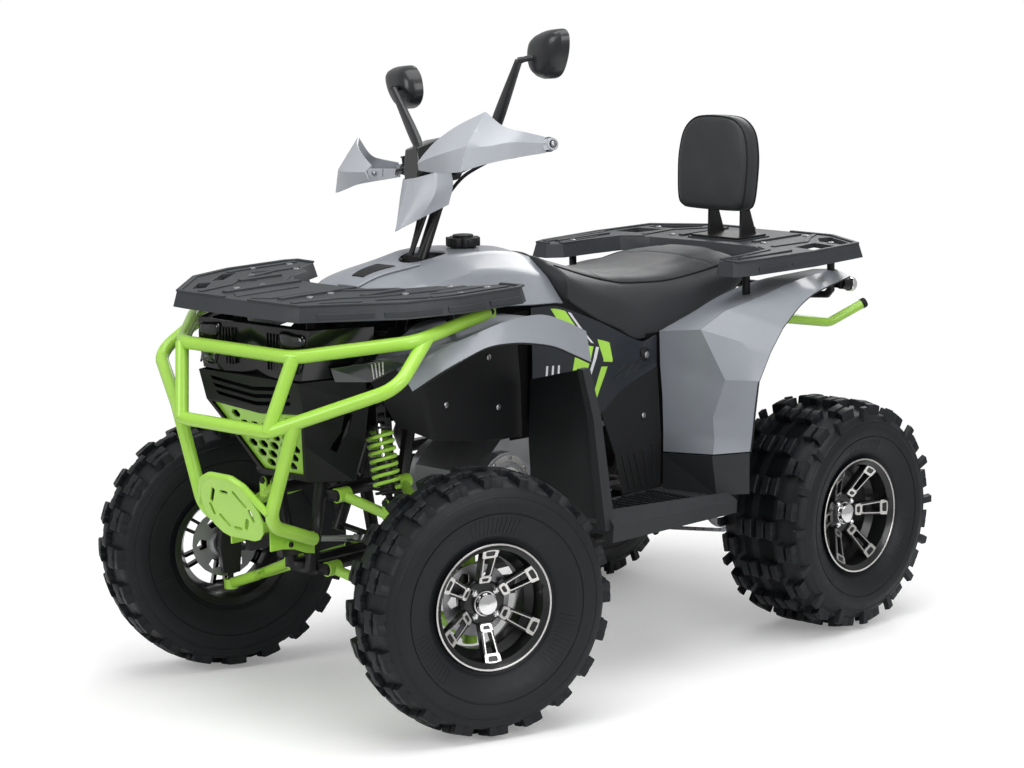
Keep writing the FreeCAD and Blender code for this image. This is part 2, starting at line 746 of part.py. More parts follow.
def frame():
    pieces = []
    for piece in frame_half():
        pieces.append(piece)
        pieces.append(mirrored(piece))
    spans = [
        (740, 30, LOWER_PIVOT_Z), (REAR_PIVOT_X - 5, 30, LOWER_PIVOT_Z), (730, 88, 650),
        (0, ENGINE_RAIL_Y, LOW_RAIL_Z), (-345, ENGINE_RAIL_Y, LOW_RAIL_Z), (-365, 130, 712),
        (-855, 140, TAIL_RAIL_Z),
    ]
    for x, y, z in spans:
        pieces.append(bar((x, -y, z), (x, y, z), 11))
    pieces.append(bar((SWING_PIVOT_X, -ENGINE_RAIL_Y, SWING_PIVOT_Z),
                      (SWING_PIVOT_X, ENGINE_RAIL_Y, SWING_PIVOT_Z), 8))
    for z, y in ((LOWER_BEARING_Z, 66), (UPPER_BEARING_Z, 105)):
        low, high = column_span(z, 16, 16)
        x = column_point(z)[0]
        pieces.append(bar((x, -y, z), (x, y, z), 9))
        pieces.append(bar(low, high, 25, 12))
    low, high = column_span(UPPER_BEARING_Z, 520, 60)
    x, y, z = REAR_SHOCK_TOP
    pieces.append(block(x - 8, x + 8, -EAR_OUT, -EAR_IN, z - 12, z + 60))
    pieces.append(block(x - 8, x + 8, EAR_IN, EAR_OUT, z - 12, z + 60))
    pieces.append(bar((x, -EAR_OUT + 1, z), (x, EAR_OUT - 1, z), SHOCK_BOLT_R))
    pieces.append(bar((x, -130, z + 52), (x, 130, z + 52), 11))
    return fused(pieces).cut(rod(low, high, COLUMN_R + SHAFT_FIT))


def swingarm():
    """Box-section arm from its pivot to the axle carrier, with the lower shock mount."""
    near = SWING_PIVOT_X - 12
    far = REAR_X + 20
    pieces = [bar((SWING_PIVOT_X, -PIVOT_HALF, SWING_PIVOT_Z), (SWING_PIVOT_X, PIVOT_HALF, SWING_PIVOT_Z),
                  17, 8)]
    for side in (-1, 1):
        y0 = 66 * side - 12
        y1 = y0 - 12 * side
        pieces.append(skin([
            [(near, y0, SWING_PIVOT_Z - 15), (near, y0 + 24, SWING_PIVOT_Z - 15),
             (near, y0 + 24, SWING_PIVOT_Z + 15), (near, y0, SWING_PIVOT_Z + 15)],
            [(far, y1, REAR_TYRE_R - 20), (far, y1 + 24, REAR_TYRE_R - 20),
             (far, y1 + 24, REAR_TYRE_R + 20), (far, y1, REAR_TYRE_R + 20)],
        ]))
    pieces.append(bar((REAR_X, -CARRIER_HALF, REAR_TYRE_R), (REAR_X, CARRIER_HALF, REAR_TYRE_R), CARRIER_R,
                      12))
    x, y, z = REAR_SHOCK_BOTTOM
    share = (SWING_PIVOT_X - x) / (SWING_PIVOT_X - REAR_X)
    middle = SWING_PIVOT_Z + (REAR_TYRE_R - SWING_PIVOT_Z) * share
    pieces.append(block(x - 14, x + 14, -70, 70, middle - 14, middle + 14))
    pieces.append(block(x - 12, x + 12, -EAR_OUT, -EAR_IN, middle + 10, z + 8))
    pieces.append(block(x - 12, x + 12, EAR_IN, EAR_OUT, middle + 10, z + 8))
    pieces.append(bar((x, -EAR_OUT + 1, z), (x, EAR_OUT - 1, z), SHOCK_BOLT_R))
    axle_bore = rod((REAR_X, -120, REAR_TYRE_R), (REAR_X, 120, REAR_TYRE_R), AXLE_R + SHAFT_FIT)
    pivot_bore = bar((SWING_PIVOT_X, -96, SWING_PIVOT_Z), (SWING_PIVOT_X, 96, SWING_PIVOT_Z), 8 + SEAT_GAP)
    return fused(pieces).cut([axle_bore, pivot_bore])


# Rear axle


def rear_axle():
    """Solid axle with a flange for each rim and carriers for the sprocket and the brake disc."""
    end = REAR_TRACK / 2 + REAR_HUB_FACE - HUB_PLATE_T - SEAT_GAP
    pieces = [rod((REAR_X, -end, REAR_TYRE_R), (REAR_X, end, REAR_TYRE_R), AXLE_R)]
    for side in (-1, 1):
        pieces.append(bar((REAR_X, side * (end - 60), REAR_TYRE_R), (REAR_X, side * end, REAR_TYRE_R), 34,
                          10))
        near, far = side * (SPROCKET_Y - 14), side * (SPROCKET_Y - SEAT_GAP)
        pieces.append(bar((REAR_X, near, REAR_TYRE_R), (REAR_X, far, REAR_TYRE_R), 38, 10))
    return fused(pieces)


def axle_plate(y0, y1, radius, holes, hole_r, hole_ring):
    """A round plate on the rear axle with a ring of lightening holes."""
    plate = bar((REAR_X, y0, REAR_TYRE_R), (REAR_X, y1, REAR_TYRE_R), radius, 24)
    cuts = [bar((REAR_X, y0 - 5, REAR_TYRE_R), (REAR_X, y1 + 5, REAR_TYRE_R), AXLE_R + 2, 10)]
    for k in range(holes):
        angle = 2 * math.pi * k / holes
        x = REAR_X + hole_ring * math.cos(angle)
        z = REAR_TYRE_R + hole_ring * math.sin(angle)
        cuts.append(bar((x, y0 - 5, z), (x, y1 + 5, z), hole_r, 5))
    return plate.cut(cuts)


def rear_sprocket():
    return axle_plate(SPROCKET_Y, SPROCKET_Y + 6, SPROCKET_R, 5, 16, 58)


def rear_disc():
    return axle_plate(-SPROCKET_Y - 5, -SPROCKET_Y, REAR_DISC_R, 6, 12, 66)


def drive_chain():
    """The chain as one closed band round both sprockets, with open runs between them."""
    y0 = SPROCKET_Y - 3
    y1 = SPROCKET_Y + 9
    x1, z1 = ENGINE_SPROCKET
    big = SPROCKET_R + 1.8
    small = ENGINE_SPROCKET_R + 1.8
    line = vec(x1 - REAR_X, 0, z1 - REAR_TYRE_R)
    lean = math.atan2(line.z, line.x)
    spread = math.asin((big - small) / line.Length)

    def belt(extra):
        pieces = []
        for x, z, r in ((REAR_X, REAR_TYRE_R, big + extra), (x1, z1, small + extra)):
            pieces.append(bar((x, y0, z), (x, y1, z), r, 12))
        corners = []
        for sign in (1, -1):
            angle = lean + sign * (math.pi / 2 - spread)
            for x, z, r in ((REAR_X, REAR_TYRE_R, big + extra), (x1, z1, small + extra)):
                corners.append((x + r * math.cos(angle), y0, z + r * math.sin(angle)))
        outline = [corners[0], corners[1], corners[3], corners[2]]
        pieces.append(prism(outline, (0, y1 - y0, 0)))
        return fused(pieces)

    return belt(CHAIN_T).cut(belt(0))


# Engine and exhaust

def engine():
    """Crankcase with round side covers, and a finned cylinder that leans forward."""
    crankcase = prism([
        (-70, -100, 330), (-30, -100, 292), (210, -100, 288), (285, -100, 345), (285, -100, 470),
        (200, -100, 540),
        (40, -100, 540), (-70, -100, 450),
    ], (0, 200, 0))
    pieces = [crankcase]
    for x, z, y0, y1, radius in (
        (215, 432, 95, 128, 84), (215, 432, 125, 138, 52), (70, 385, 95, 116, 76), (190, 430, -126, -95, 90),
    ):
        pieces.append(bar((x, y0, z), (x, y1, z), radius, 16))
    pieces.append(bar((130, 0, 530), (150, 0, 690), 46, 8))
    for k in range(6):
        z = 552 + 19 * k
        x = 132 + 2.4 * k
        pieces.append(block(x - 70, x + 70, -66, 66, z, z + 7))
    pieces.append(block(85, 215, -58, 58, 662, 700))
    for x in (0, 180):
        for y in (-100, 100):
            pieces.append(block(x, x + 30, y - 30, y + 30, LOW_RAIL_Z + flat_reach(FRAME_R) + SEAT_GAP, 330))
    x, z = ENGINE_SPROCKET
    recess = bar((x, SPROCKET_Y - 8, z), (x, SPROCKET_Y + 60, z), ENGINE_SPROCKET_R + CHAIN_T + 9, 16)
    shaft = bar((x, 60, z), (x, SPROCKET_Y + 6, z), 14)
    cog = bar((x, SPROCKET_Y, z), (x, SPROCKET_Y + 6, z), ENGINE_SPROCKET_R, 16)
    chain_way = block(-80, x, SPROCKET_Y - 8, SPROCKET_Y + 60, 290, 392)
    return fused([fused(pieces).cut([recess, chain_way]), shaft, cog])


def exhaust():
    """Header from the front of the cylinder's head along the right side to a silencer under the tail."""
    pipe = tube([(215 + SEAT_GAP, -20, 680), (300, -20, 680), (335, -100, 560), (250, -168, 500),
                 (-300, -172, 500),
                 (-440, -190, 540), (-540, -200, 576)], 15, 45, 8)
    silencer = bar((-500, -198, 566), (-850, -204, 616), 44, 12)
    tip = bar((-840, -204, 615), (-890, -204, 622), 16, 8)
    return fused([pipe, silencer, tip])


# Bumper


def bumper():
    """Two bent hoops joined by struts, two legs down to bolted plates, and the slotted oval skid plate
    between the legs.
    """
    r = BUMPER_R
    left_top = [HOOP_TOP_END, HOOP_TOP_CORNER, HOOP_TOP_BEND]
    right_top = [(x, -y, z) for x, y, z in reversed(left_top)]
    left_mid = [HOOP_MID_END, HOOP_MID_CORNER, HOOP_MID_BEND]
    right_mid = [(x, -y, z) for x, y, z in reversed(left_mid)]
    pieces = [tube(left_top + right_top, r, 60, 8), tube(left_mid + right_mid, r, 60, 8)]
    side = [bar(HOOP_MID_BEND, HOOP_TOP_BEND, r, 8), tube([LEG_TOP, LEG_KNEE, LEG_END], r, 60, 8)]
    side.append(prism([
        (888, BUMPER_PLATE_Y, 440), (760, BUMPER_PLATE_Y, 416), (760, BUMPER_PLATE_Y, 366),
        (786, BUMPER_PLATE_Y, 372),
        (820, BUMPER_PLATE_Y, 386), (856, BUMPER_PLATE_Y, 392), (888, BUMPER_PLATE_Y, 392),
    ], (0, 5, 0)))
    for x in (785, 835):
        side.append(bar((x, BUMPER_PLATE_Y, 400), (x, BUMPER_PLATE_Y + 10, 400), SCREW_R))
    end = HOOP_TOP_END
    side.append(block(end[0] - 34, end[0] + 14, end[1] - 14, end[1] - 6, end[2] - 12, end[2] + 12))
    for piece in side:
        pieces.append(piece)
        pieces.append(mirrored(piece))
    pieces.append(skid_plate())
    return fused(pieces)


def skid_plate():
    """Oval plate with eight slots and a rim tube over its top edge, leaning forward at the top."""
    outline = [(-94, 5), (-66, 62), (-34, 78), (34, 78), (66, 62), (94, 5), (84, -46), (44, -78),
               (-44, -78), (-84, -46)]
    plate = prism([(0, y, z) for y, z in outline], (5, 0, 0))
    slots = [(-44, 32, 48, -34), (44, 32, 48, 34), (0, 45, 26, 90), (0, -50, 26, 90), (-64, -8, 34, 0),
             (64, -8, 34, 0),
             (-36, -34, 38, 34), (36, -34, 38, -34)]
    for y, z, length, lean in slots:
        slot = block(-5, 15, -4.5, 4.5, -length / 2, length / 2)
        slot = turned(slot, ORIGIN, vec(1, 0, 0), lean)
        plate = plate.cut(moved(slot, vec(0, y, z)))
    rim_tube = tube([(-4, -112, 0), (-2, -66, 64), (-2, -34, 80), (-2, 34, 80), (-2, 66, 64), (-4, 112, 0)],
                    8, 22)
    body = fused([plate, rim_tube])
    body = turned(body, ORIGIN, Y_AXIS, SKID_TILT)
    return moved(body, vec(*SKID_CENTRE))


# Racks


def inset_outline(outline, amount):
    """The outline moved inwards by the amount, for a closed outline that runs anticlockwise."""
    count = len(outline)
    moved_points = []
    for k in range(count):
        x0, y0 = outline[k - 1]
        x1, y1 = outline[k]
        x2, y2 = outline[(k + 1) % count]
        a = vec(x1 - x0, y1 - y0, 0).normalize()
        b = vec(x2 - x1, y2 - y1, 0).normalize()
        normal_a = vec(-a.y, a.x, 0)
        normal_b = vec(-b.y, b.x, 0)
        mitre = (normal_a + normal_b).normalize()
        reach = amount / mitre.dot(normal_a)
        moved_points.append((x1 + mitre.x * reach, y1 + mitre.y * reach))
    return moved_points


def rack(outline, top_z, thickness, depth, flare):
    """A plate whose edge turns down into a skirt that leans outwards by the flare."""
    top = inset_outline(outline, flare)
    outer = skin([[(x, y, top_z) for x, y in top], [(x, y, top_z - depth) for x, y in outline]])
    wall = 6.0
    inner_top = inset_outline(outline, flare + wall)
    inner_low = inset_outline(outline, wall)
    hollow = skin([
        [(x, y, top_z - thickness) for x, y in inner_top],
        [(x, y, top_z - depth - 1) for x, y in inner_low],
    ])
    return outer.cut(hollow)


def mirrored_outline(half):
    """A closed anticlockwise outline, seen from above, from its left half given rear to front."""
    right = [(x, -y) for x, y in half]
    return right + list(reversed(half))


def front_rack():
    outline = mirrored_outline(FRONT_RACK_HALF)
    body = rack(outline, FRONT_RACK_TOP_Z, FRONT_RACK_T, 34, 9)
    low, high = FRONT_RACK_TOP_Z - 40, FRONT_RACK_TOP_Z + 10
    windows = [
        [(830, 190), (862, 200), (790, 262), (762, 248)],
        [(722, 255), (752, 264), (660, 332), (625, 322)],
    ]
    for window in windows:
        for side in (1, -1):
            cut = prism([(x, side * y, low) for x, y in window], (0, 0, high - low))
            body = body.cut(cut)
    ribs = []
    for side in (1, -1):
        for x0, x1, y in ((640, 860, 90), (600, 720, 200)):
            y0 = side * y
            ribs.append(block(x0, x1, y0 - 9, y0 + 9, FRONT_RACK_TOP_Z - 1, FRONT_RACK_TOP_Z + 5))
        ribs.append(block(430, 492, side * 322 - 12, side * 322 + 12, HOOP_TOP_END[2] + BUMPER_R + SEAT_GAP,
                          RACK_UNDERSIDE_Z + 2))
    return fused([body] + ribs)


def rear_rack():
    right = [(x, -y) for x, y in reversed(REAR_RACK_HALF)]
    outline = list(REAR_RACK_HALF) + right
    body = rack(outline, REAR_RACK_TOP_Z, REAR_RACK_T, 34, 9)
    low, high = REAR_RACK_TOP_Z - 40, REAR_RACK_TOP_Z + 10
    windows = [
        [(-690, 258), (-676, 330), (-764, 328), (-782, 246)],
        [(-812, 240), (-796, 322), (-832, 316), (-896, 208), (-862, 196)],
    ]
    for window in windows:
        for side in (1, -1):
            cut = prism([(x, side * y, low) for x, y in window], (0, 0, high - low))
            body = body.cut(cut)
    ribs = []
    for side in (1, -1):
        for x0, x1, y in ((-620, -430, 300), (-880, -700, 120)):
            y0 = side * y
            ribs.append(block(x0, x1, y0 - 8, y0 + 8, REAR_RACK_TOP_Z - 1, REAR_RACK_TOP_Z + 5))
    ribs.append(block(-806, -684, -84, 84, REAR_RACK_TOP_Z - 1, REAR_RACK_TOP_Z + RACK_PAD_T))
    return fused([body] + ribs)


def rear_bar():
    """Grab bar behind the tail: two bent tubes on the frame's tail, joined by a cross tube, with black end
    caps.
    """
    bend = (-895.0, 205.0, 690.0)
    tip = (-975.0, 248.0, 732.0)
    start = (-740.0, 158.0, 716.0)
    arm = tube([start, bend, tip], 12, 40)
    root = bar((-740, 158, 716), (-740, 143, 750), 10)
    cap = bar(tip, along(bend, tip, (vec(*tip) - vec(*bend)).Length + 12), 13)
    pieces = [arm, mirrored(arm), root, mirrored(root), cap, mirrored(cap),
              bar((-880, -196, 692), (-880, 196, 692), 12)]
    rails = bar((-700, 137, 754), (-800, 139, 766), FRAME_R + 2 * SEAT_GAP)
    return fused(pieces).cut(rails).cut(mirrored(rails))


# Body panels: rows of points from inside to outside, or from top to bottom

def front_fender():
    """Left front fender: flat top, raised crease, a lip over the wheel and a flat end above the footwell."""
    rows = [
        [(236, 150, 846), (236, 300, 846), (240, 412, 830), (244, 430, 762)],
        [(300, 150, 856), (300, 330, 860), (300, 410, 858), (300, 434, 786)],
        [(371, 150, 860), (371, 335, 862), (371, 405, 882), (371, 439, 815)],
        [(449, 150, 860), (449, 342, 862), (449, 402, 884), (449, 441, 833)],
        [(510, 150, 856), (510, 348, 855), (510, 396, 876), (510, 436, 840)],
        [(574, 180, 846), (574, 338, 846), (574, 386, 860), (574, 424, 836)],
        [(657, 200, 826), (657, 290, 826), (657, 345, 826), (657, 396, 800)],
        [(690, 204, 808), (700, 262, 800), (712, 316, 780), (719, 348, 752)],
    ]
    body = panel(rows)
    end = panel([[(241, 180, 845), (241, 409, 829)], [(241, 200, 764), (241, 427, 764)]])
    return fused([body, end]).cut(rear_post(POST_R + SEAT_GAP))


def tank_cover():
    """The cover over the tank, crowned, with long creases and holes for the steering column and the
    filler.
    """
    half_rows = [
        [(66, 0, 962), (66, 74, 952), (66, 132, 908), (66, 180, 852)],
        [(120, 0, 978), (120, 84, 968), (120, 150, 926), (120, 206, 862)],
        [(210, 0, 984), (210, 86, 982), (210, 160, 944), (210, 224, 870)],
        [(330, 0, 980), (330, 84, 984), (330, 165, 953), (330, 224, 880)],
        [(420, 0, 966), (420, 80, 968), (420, 165, 945), (420, 214, 884)],
        [(520, 0, 955), (520, 75, 952), (520, 140, 934), (520, 188, 886)],
        [(596, 0, 925), (596, 60, 922), (596, 108, 913), (596, 150, 880)],
    ]
    body = panel(full_width(half_rows))
    low, high = column_span(975, 90, 70)
    body = body.cut(bar(low, high, COVER_HOLE_R, 16))
    return body.cut(bar((CAP_X, 0, 900), (CAP_X, 0, 1000), NECK_R + 1, 14))


def fuel_cap():
    """Scalloped cap on a neck that passes through the cover."""
    cap = bar((CAP_X, 0, CAP_Z), (CAP_X, 0, CAP_Z + 20), 40, 20)
    for k in range(10):
        angle = 2 * math.pi * k / 10
        x = CAP_X + 46 * math.cos(angle)
        y = 46 * math.sin(angle)
        cap = cap.cut(bar((x, y, CAP_Z - 2), (x, y, CAP_Z + 30), 11))
    top = bar((CAP_X, 0, CAP_Z + 18), (CAP_X, 0, CAP_Z + 26), 24, 14)
    neck = bar((CAP_X, 0, 902), (CAP_X, 0, CAP_Z + 2), NECK_R, 14)
    return fused([cap, top, neck])


def fuel_tank():
    """The plastic tank under the cover, between the top rails, around the cap's neck."""
    body = skin([
        [(66, -80, 745), (66, 80, 745), (66, 70, 905), (66, -70, 905)],
        [(290, -84, 815), (290, 84, 815), (290, 78, 940), (290, -78, 940)],
    ])
    return body.cut(bar((CAP_X, 0, 902 - SEAT_GAP), (CAP_X, 0, 960), NECK_R + 1, 14))


def rear_fender():
    """Left rear fender: from the tail forwards, then folded down behind the footwell."""
    rows = [
        [(-820, 214, 836), (-820, 280, 842), (-820, 330, 828)],
        [(-600, 214, 832), (-590, 340, 842), (-600, 398, 819)],
        [(-462, 214, 812), (-450, 350, 822), (-512, 420, 800)],
        [(-340, 214, 779), (-330, 338, 800), (-419, 440, 758)],
        [(-232, 214, 752), (-248, 330, 764), (-359, 452, 711)],
        [(-224, 222, 676), (-252, 400, 650), (-304, 461, 647)],
        [(-213, 238, 600), (-230, 380, 560), (-290, 461, 575)],
        [(-201, 250, 519), (-221, 392, 512), (-282, 461, 525)],
        [(-200, 250, 469), (-206, 400, 479), (-274, 460, 483)],
    ]
    body = panel(rows)
    for x in TAIL_POST_X:
        body = body.cut(tail_post(x, POST_R + SEAT_GAP))
    return body


def lower_rear_panel():
    """Dark panel that joins the rear fender to the footwell."""
    rows = [
        [(-196, 252, 466), (-202, 400, 476), (-270, 458, 480)],
        [(-190, 256, FLOOR_Z - 1.6), (-205, 410, FLOOR_Z - 1.6), (-266, 460, FLOOR_Z - 1.6)],
    ]
    return panel(rows)


def side_panel():
    """Dark panel under the seat's side, between the tank cover and the heel panel, with a boss to the
    frame's seat rail.
    """
    rows = [
        [(190, 196, 858), (100, 196, 850), (-39, 200, 796), (-176, 205, 734), (-226, 210, 744)],
        [(205, 212, 740), (100, 214, 730), (-40, 216, 710), (-150, 216, 690), (-221, 214, 680)],
        [(215, 216, 600), (100, 218, 596), (-19, 218, 585), (-91, 219, 630), (-219, 217, 668)],
    ]
    rail_side = SEAT_RAIL_Y + corner_reach(FRAME_R) + SEAT_GAP
    boss = bar((-181, rail_side, 702), (-181, 211, 702), 12, 8)
    return fused([panel(rows), boss])


def heel_panel():
    """Black panel below the side panel, down to the footwell."""
    rows = [
        [(-19.2, 218, 584.6), (-91.2, 219, 629.6), (-219.1, 217, 667.6)],
        [(-50, 232, 480), (-110, 236, 480), (-205, 240, 500)],
        [(-54, 250, 388), (-120, 252, 388), (-184, 253, 388)],
    ]
    return panel(rows)


def footwell():
    """Left foot board with its outer sill, ribbed tread and the splash wall and strut in front of it."""
    floor = skin([
        [(212, 236, FLOOR_Z - 14), (212, 452, FLOOR_Z - 22), (212, 452, FLOOR_Z + 4),
         (212, 236, FLOOR_Z - 2)],
        [(-200, 236, FLOOR_Z - 14), (-200, 440, FLOOR_Z - 22), (-200, 440, FLOOR_Z - 2),
         (-200, 236, FLOOR_Z - 2)],
    ])
    sill = skin([
        [(226, 438, 358), (226, 470, 352), (226, 474, 392), (222, 446, 424)],
        [(-216, 430, 352), (-216, 462, 346), (-216, 464, 376), (-216, 436, 392)],
    ])
    pieces = [floor, sill]
    for k in range(7):
        x = 150 - 44 * k
        pieces.append(block(x, x + 12, 270, 420, FLOOR_Z - 8, FLOOR_Z + 6))
    wall = panel([
        [(232, 228, 400), (240, 228, 560), (232, 228, 700)],
        [(226, 440, 400), (246, 438, 560), (262, 434, 752)],
    ], 5)
    strut = skin([
        [(208, 436, 380), (240, 436, 380), (240, 462, 380), (208, 462, 380)],
        [(236, 430, 640), (262, 430, 640), (262, 450, 640), (236, 450, 640)],
        [(262, 424, 752), (286, 424, 752), (286, 442, 752), (262, 442, 752)],
    ])
    pieces.append(wall)
    pieces.append(strut)
    return Part.makeCompound([fused(pieces), lower_rear_panel()])


def inner_guard():
    """Dark plate inside the left front wheel arch."""
    rows = [
        [(690, 160, 780), (560, 196, 836), (400, 198, 846), (246, 200, 836)],
        [(640, 170, 700), (540, 200, 690), (400, 202, 680), (240, 206, 690)],
        [(600, 172, 640), (520, 200, 600), (400, 202, 580), (240, 208, 566)],
    ]
    return panel(rows).cut(rear_post(POST_R + SEAT_GAP))


# Nose


def nose_cover():
    """Dark lower nose: a wedge round the grille opening, with three slots over it and a scoop slot in each
    side.
    """
    half = [
        (NOSE_LOW[0], (706, 144), (NOSE_LOW[1], 74)),
        (620, (704, 178), (824, 114)),
        (NOSE_HIGH[0], (702, 192), (NOSE_HIGH[1], 160)),
        (772, (724, 205), (880, 164)),
    ]
    rows = []
    for z, back, front in half:
        rows.append([
            (back[0], back[1], z), (front[0], front[1], z), (front[0] - 2, front[1] * 0.6, z),
            (front[0] - NOSE_BOW, 0, z),
            (front[0] - 2, -front[1] * 0.6, z), (front[0], -front[1], z), (back[0], -back[1], z),
        ])
    body = panel(rows, 5)
    cuts = [prism([(700, y, z) for y, z in GRILLE_OUTLINE], (260, 0, 0))]
    for k in range(3):
        z = 718 + 17 * k
        wide = 122 + 4 * k
        cuts.append(prism([
            (780, -wide, z + 9), (780, 0, z - 4), (780, wide, z + 9), (780, wide - 4, z), (780, 0, z - 13),
            (780, -wide + 4, z),
        ], (260, 0, 0)))
    cuts.append(prism([(740, -400, 690), (762, -400, 690), (770, -400, 610), (754, -400, 600)], (0, 800, 0)))
    return body.cut(cuts)


def nose_cowl():
    """Glossy upper nose with the recesses of the two upper lamps."""
    rows = []
    for z, back, front, centre in (
        (776, (724, 205), (868, 160), 850), (836, (728, 236), (866, 176), 858),
        (886, (735, 250), (862, 180), 868),
    ):
        rows.append([
            (back[0], back[1], z), (front[0], front[1], z), (front[0] + 6, 84, z), (centre, 0, z),
            (front[0] + 6, -84, z), (front[0], -front[1], z), (back[0], -back[1], z),
        ])
    body = panel(rows, 4)
    for side in (1, -1):
        opening = [(side * 100, 874), (side * 166, 868), (side * 158, 836), (side * 108, 846)]
        body = body.cut(prism([(700, y, z) for y, z in opening], (260, 0, 0)))
    return body


def upper_lamp():
    """Lens of the left upper lamp, in the cowl's opening."""
    outline = [(100.8, 873.2), (165.2, 867.3), (157.4, 836.8), (108.6, 846.6)]
    return prism([(838, y, z) for y, z in outline], (30, 0, 0))


def lower_lamp():
    """Angled lamp between the hoops, from the cowl's side out to the fender's lip."""
    return skin([
        [(812, 190.0, 800), (796, 185.8, 766), (768, 193.4, 766), (780, 202.1, 800)],
        [(764, 256, 812), (752, 254, 768), (732, 240, 768), (740, 240, 812)],
        [(744, 296, 822), (740, 290, 788), (724, 280, 788), (726, 282, 822)],
        [(722, 338, 834), (722, 334, 812), (712, 330, 812), (712, 332, 834)],
    ])


def grille():
    """Mesh of offset hexagonal cells in the nose's opening, leaning back towards the bottom, 2 mm behind
    its face.
    """
    slope = (NOSE_HIGH[1] - NOSE_LOW[1]) / (NOSE_HIGH[0] - NOSE_LOW[0])

    def face_x(z):
        return NOSE_HIGH[1] - NOSE_BOW - 2 - (NOSE_HIGH[0] - z) * slope

    inside = [(-145.6, 699.4), (0, 685.6), (145.6, 699.4), (66.6, 545.4), (-66.6, 545.4)]
    plate = prism([(face_x(z), y, z) for y, z in inside], (-GRILLE_T, 0, 0))
    cells = []
    for row in range(6):
        z = 563 + 22.5 * row
        half = 67 + (z - 545) * 0.51 - 10
        for k in range(-4, 5):
            y = CELL_PITCH * (k + (0.5 if row % 2 else 0))
            if abs(y) + 14 < half and z + 13 < 686 + abs(y) * 0.096 - 5:
                hexagon = [(y - 14, z), (y - 8, z - 9), (y + 8, z - 9), (y + 14, z), (y + 8, z + 9),
                           (y - 8, z + 9)]
                cells.append(prism([(700, v, w) for v, w in hexagon], (260, 0, 0)))
    return plate.cut(cells)


# Seat and backrest

def seat():
    """Saddle: crowned top, sides that drop to a low point behind the knees."""
    sections = []
    for x, low, side, shoulder, top in (
        (62, 862, 188, 120, 956), (-39, 803, 192, 135, 922), (-110, 772, 196, 145, 902),
        (-179, 741, 200, 150, 890),
        (-306, 763, 206, 160, 880), (-430, 795, 208, 165, 886), (-520, 816, 204, 165, 896),
        (-590, 850, 190, 150, 900),
    ):
        edge = low + (top - low) * 0.55
        sections.append([(x, -side, low), (x, side, low), (x, side - 6, edge), (x, shoulder, top - 14),
                         (x, shoulder * 0.45, top), (x, -shoulder * 0.45, top), (x, -shoulder, top - 14),
                         (x, -side + 6, edge)])
    return skin(sections)


def backrest():
    """Pad with rounded corners, wider below."""
    outline = [(-96, 8), (-112, 34), (-117, 100), (-112, 170), (-98, 214), (-70, 236), (70, 236), (98, 214),
               (112, 170), (117, 100), (112, 34), (96, 8), (60, 0), (-60, 0)]
    front = [(0, y * 0.93, 8 + z * 0.94) for y, z in outline]
    middle = [(-22, y, z) for y, z in outline]
    rear = [(-52, y * 0.97, 4 + z * 0.97) for y, z in outline]
    body = skin([front, middle, rear])
    body = turned(body, ORIGIN, Y_AXIS, BACKREST_TILT)
    return moved(body, vec(-672, 0, 986))


def backrest_bracket():
    """Base plate on the rack with two bent legs up the back of the pad."""
    top = REAR_RACK_TOP_Z + RACK_PAD_T + SEAT_GAP
    pieces = [block(-800, -690, -78, 78, top, top + 5)]
    for side in (1, -1):
        y = side * 52
        leg = [(-790, top + 3), (-728, top + 3), (-731, 1000), (-741, 1110), (-764, 1110), (-758, 1000)]
        pieces.append(prism([(x, y - 3, z) for x, z in leg], (0, 6, 0)))
    plate = prism([(-726.5, -80, 1000), (-734, -80, 1000), (-744, -80, 1110), (-736.5, -80, 1110)],
                  (0, 160, 0))
    return fused(pieces + [plate])


# Steering

def steering_place(shape):
    base = vec(COLUMN_X, 0, COLUMN_Z)
    return turned(shape, base, column_axis(), BAR_REST_ANGLE)


def handlebar():
    """Column with the pitman arm at its foot, a clamp at its head and the bar with its grips."""
    low, high = column_span(PITMAN_Z, 14, (BAR_CLAMP_Z - PITMAN_Z) / math.cos(math.radians(COLUMN_TILT)))
    foot = vec(*column_point(PITMAN_Z))
    back = vec(-math.cos(math.radians(COLUMN_TILT)), 0, -math.sin(math.radians(COLUMN_TILT)))
    axis = column_axis()
    column = bar(low, high, COLUMN_R - 1, 12)
    journals = []
    for bearing_z in (LOWER_BEARING_Z, UPPER_BEARING_Z):
        journals.append(rod(*column_span(bearing_z, 18, 18), COLUMN_R))
    end = foot + back * PITMAN_ARM
    arm_low = axis * -4
    corners = []
    for across, reach in ((-26, -6), (-PITMAN_HALF - 12, PITMAN_ARM + 11),
                          (PITMAN_HALF + 12, PITMAN_ARM + 11), (26, -6)):
        corners.append(foot + arm_low + back * reach + vec(0, across, 0))
    arm = prism([(p.x, p.y, p.z) for p in corners], (axis.x * 8, 0, axis.z * 8))
    pins = []
    for side in (1, -1):
        spot = end + vec(0, side * PITMAN_HALF, 0)
        pins.append(Part.makeCylinder(5, 26, spot - axis * 22, axis))
    clamp = vec(*high)
    halves = []
    for side in (1, -1):
        halves.append(tube([
            (clamp.x, 0, clamp.z + 4), (clamp.x, side * 60, clamp.z + 6),
            (clamp.x - 30, side * 170, clamp.z + 34),
            (clamp.x - 52, side * GRIP_START, clamp.z + 34), (clamp.x - 74, side * BAR_END, clamp.z + 32),
        ], BAR_R, 30))
    block_head = bar((clamp.x, -34, clamp.z + 4), (clamp.x, 34, clamp.z + 4), CLAMP_R, 10)
    return fused([column, arm, block_head] + journals + pins + halves)


def bar_head():
    """The point of the bar at the clamp, straight ahead."""
    length = (BAR_CLAMP_Z - PITMAN_Z) / math.cos(math.radians(COLUMN_TILT))
    low, high = column_span(PITMAN_Z, 14, length)
    return high


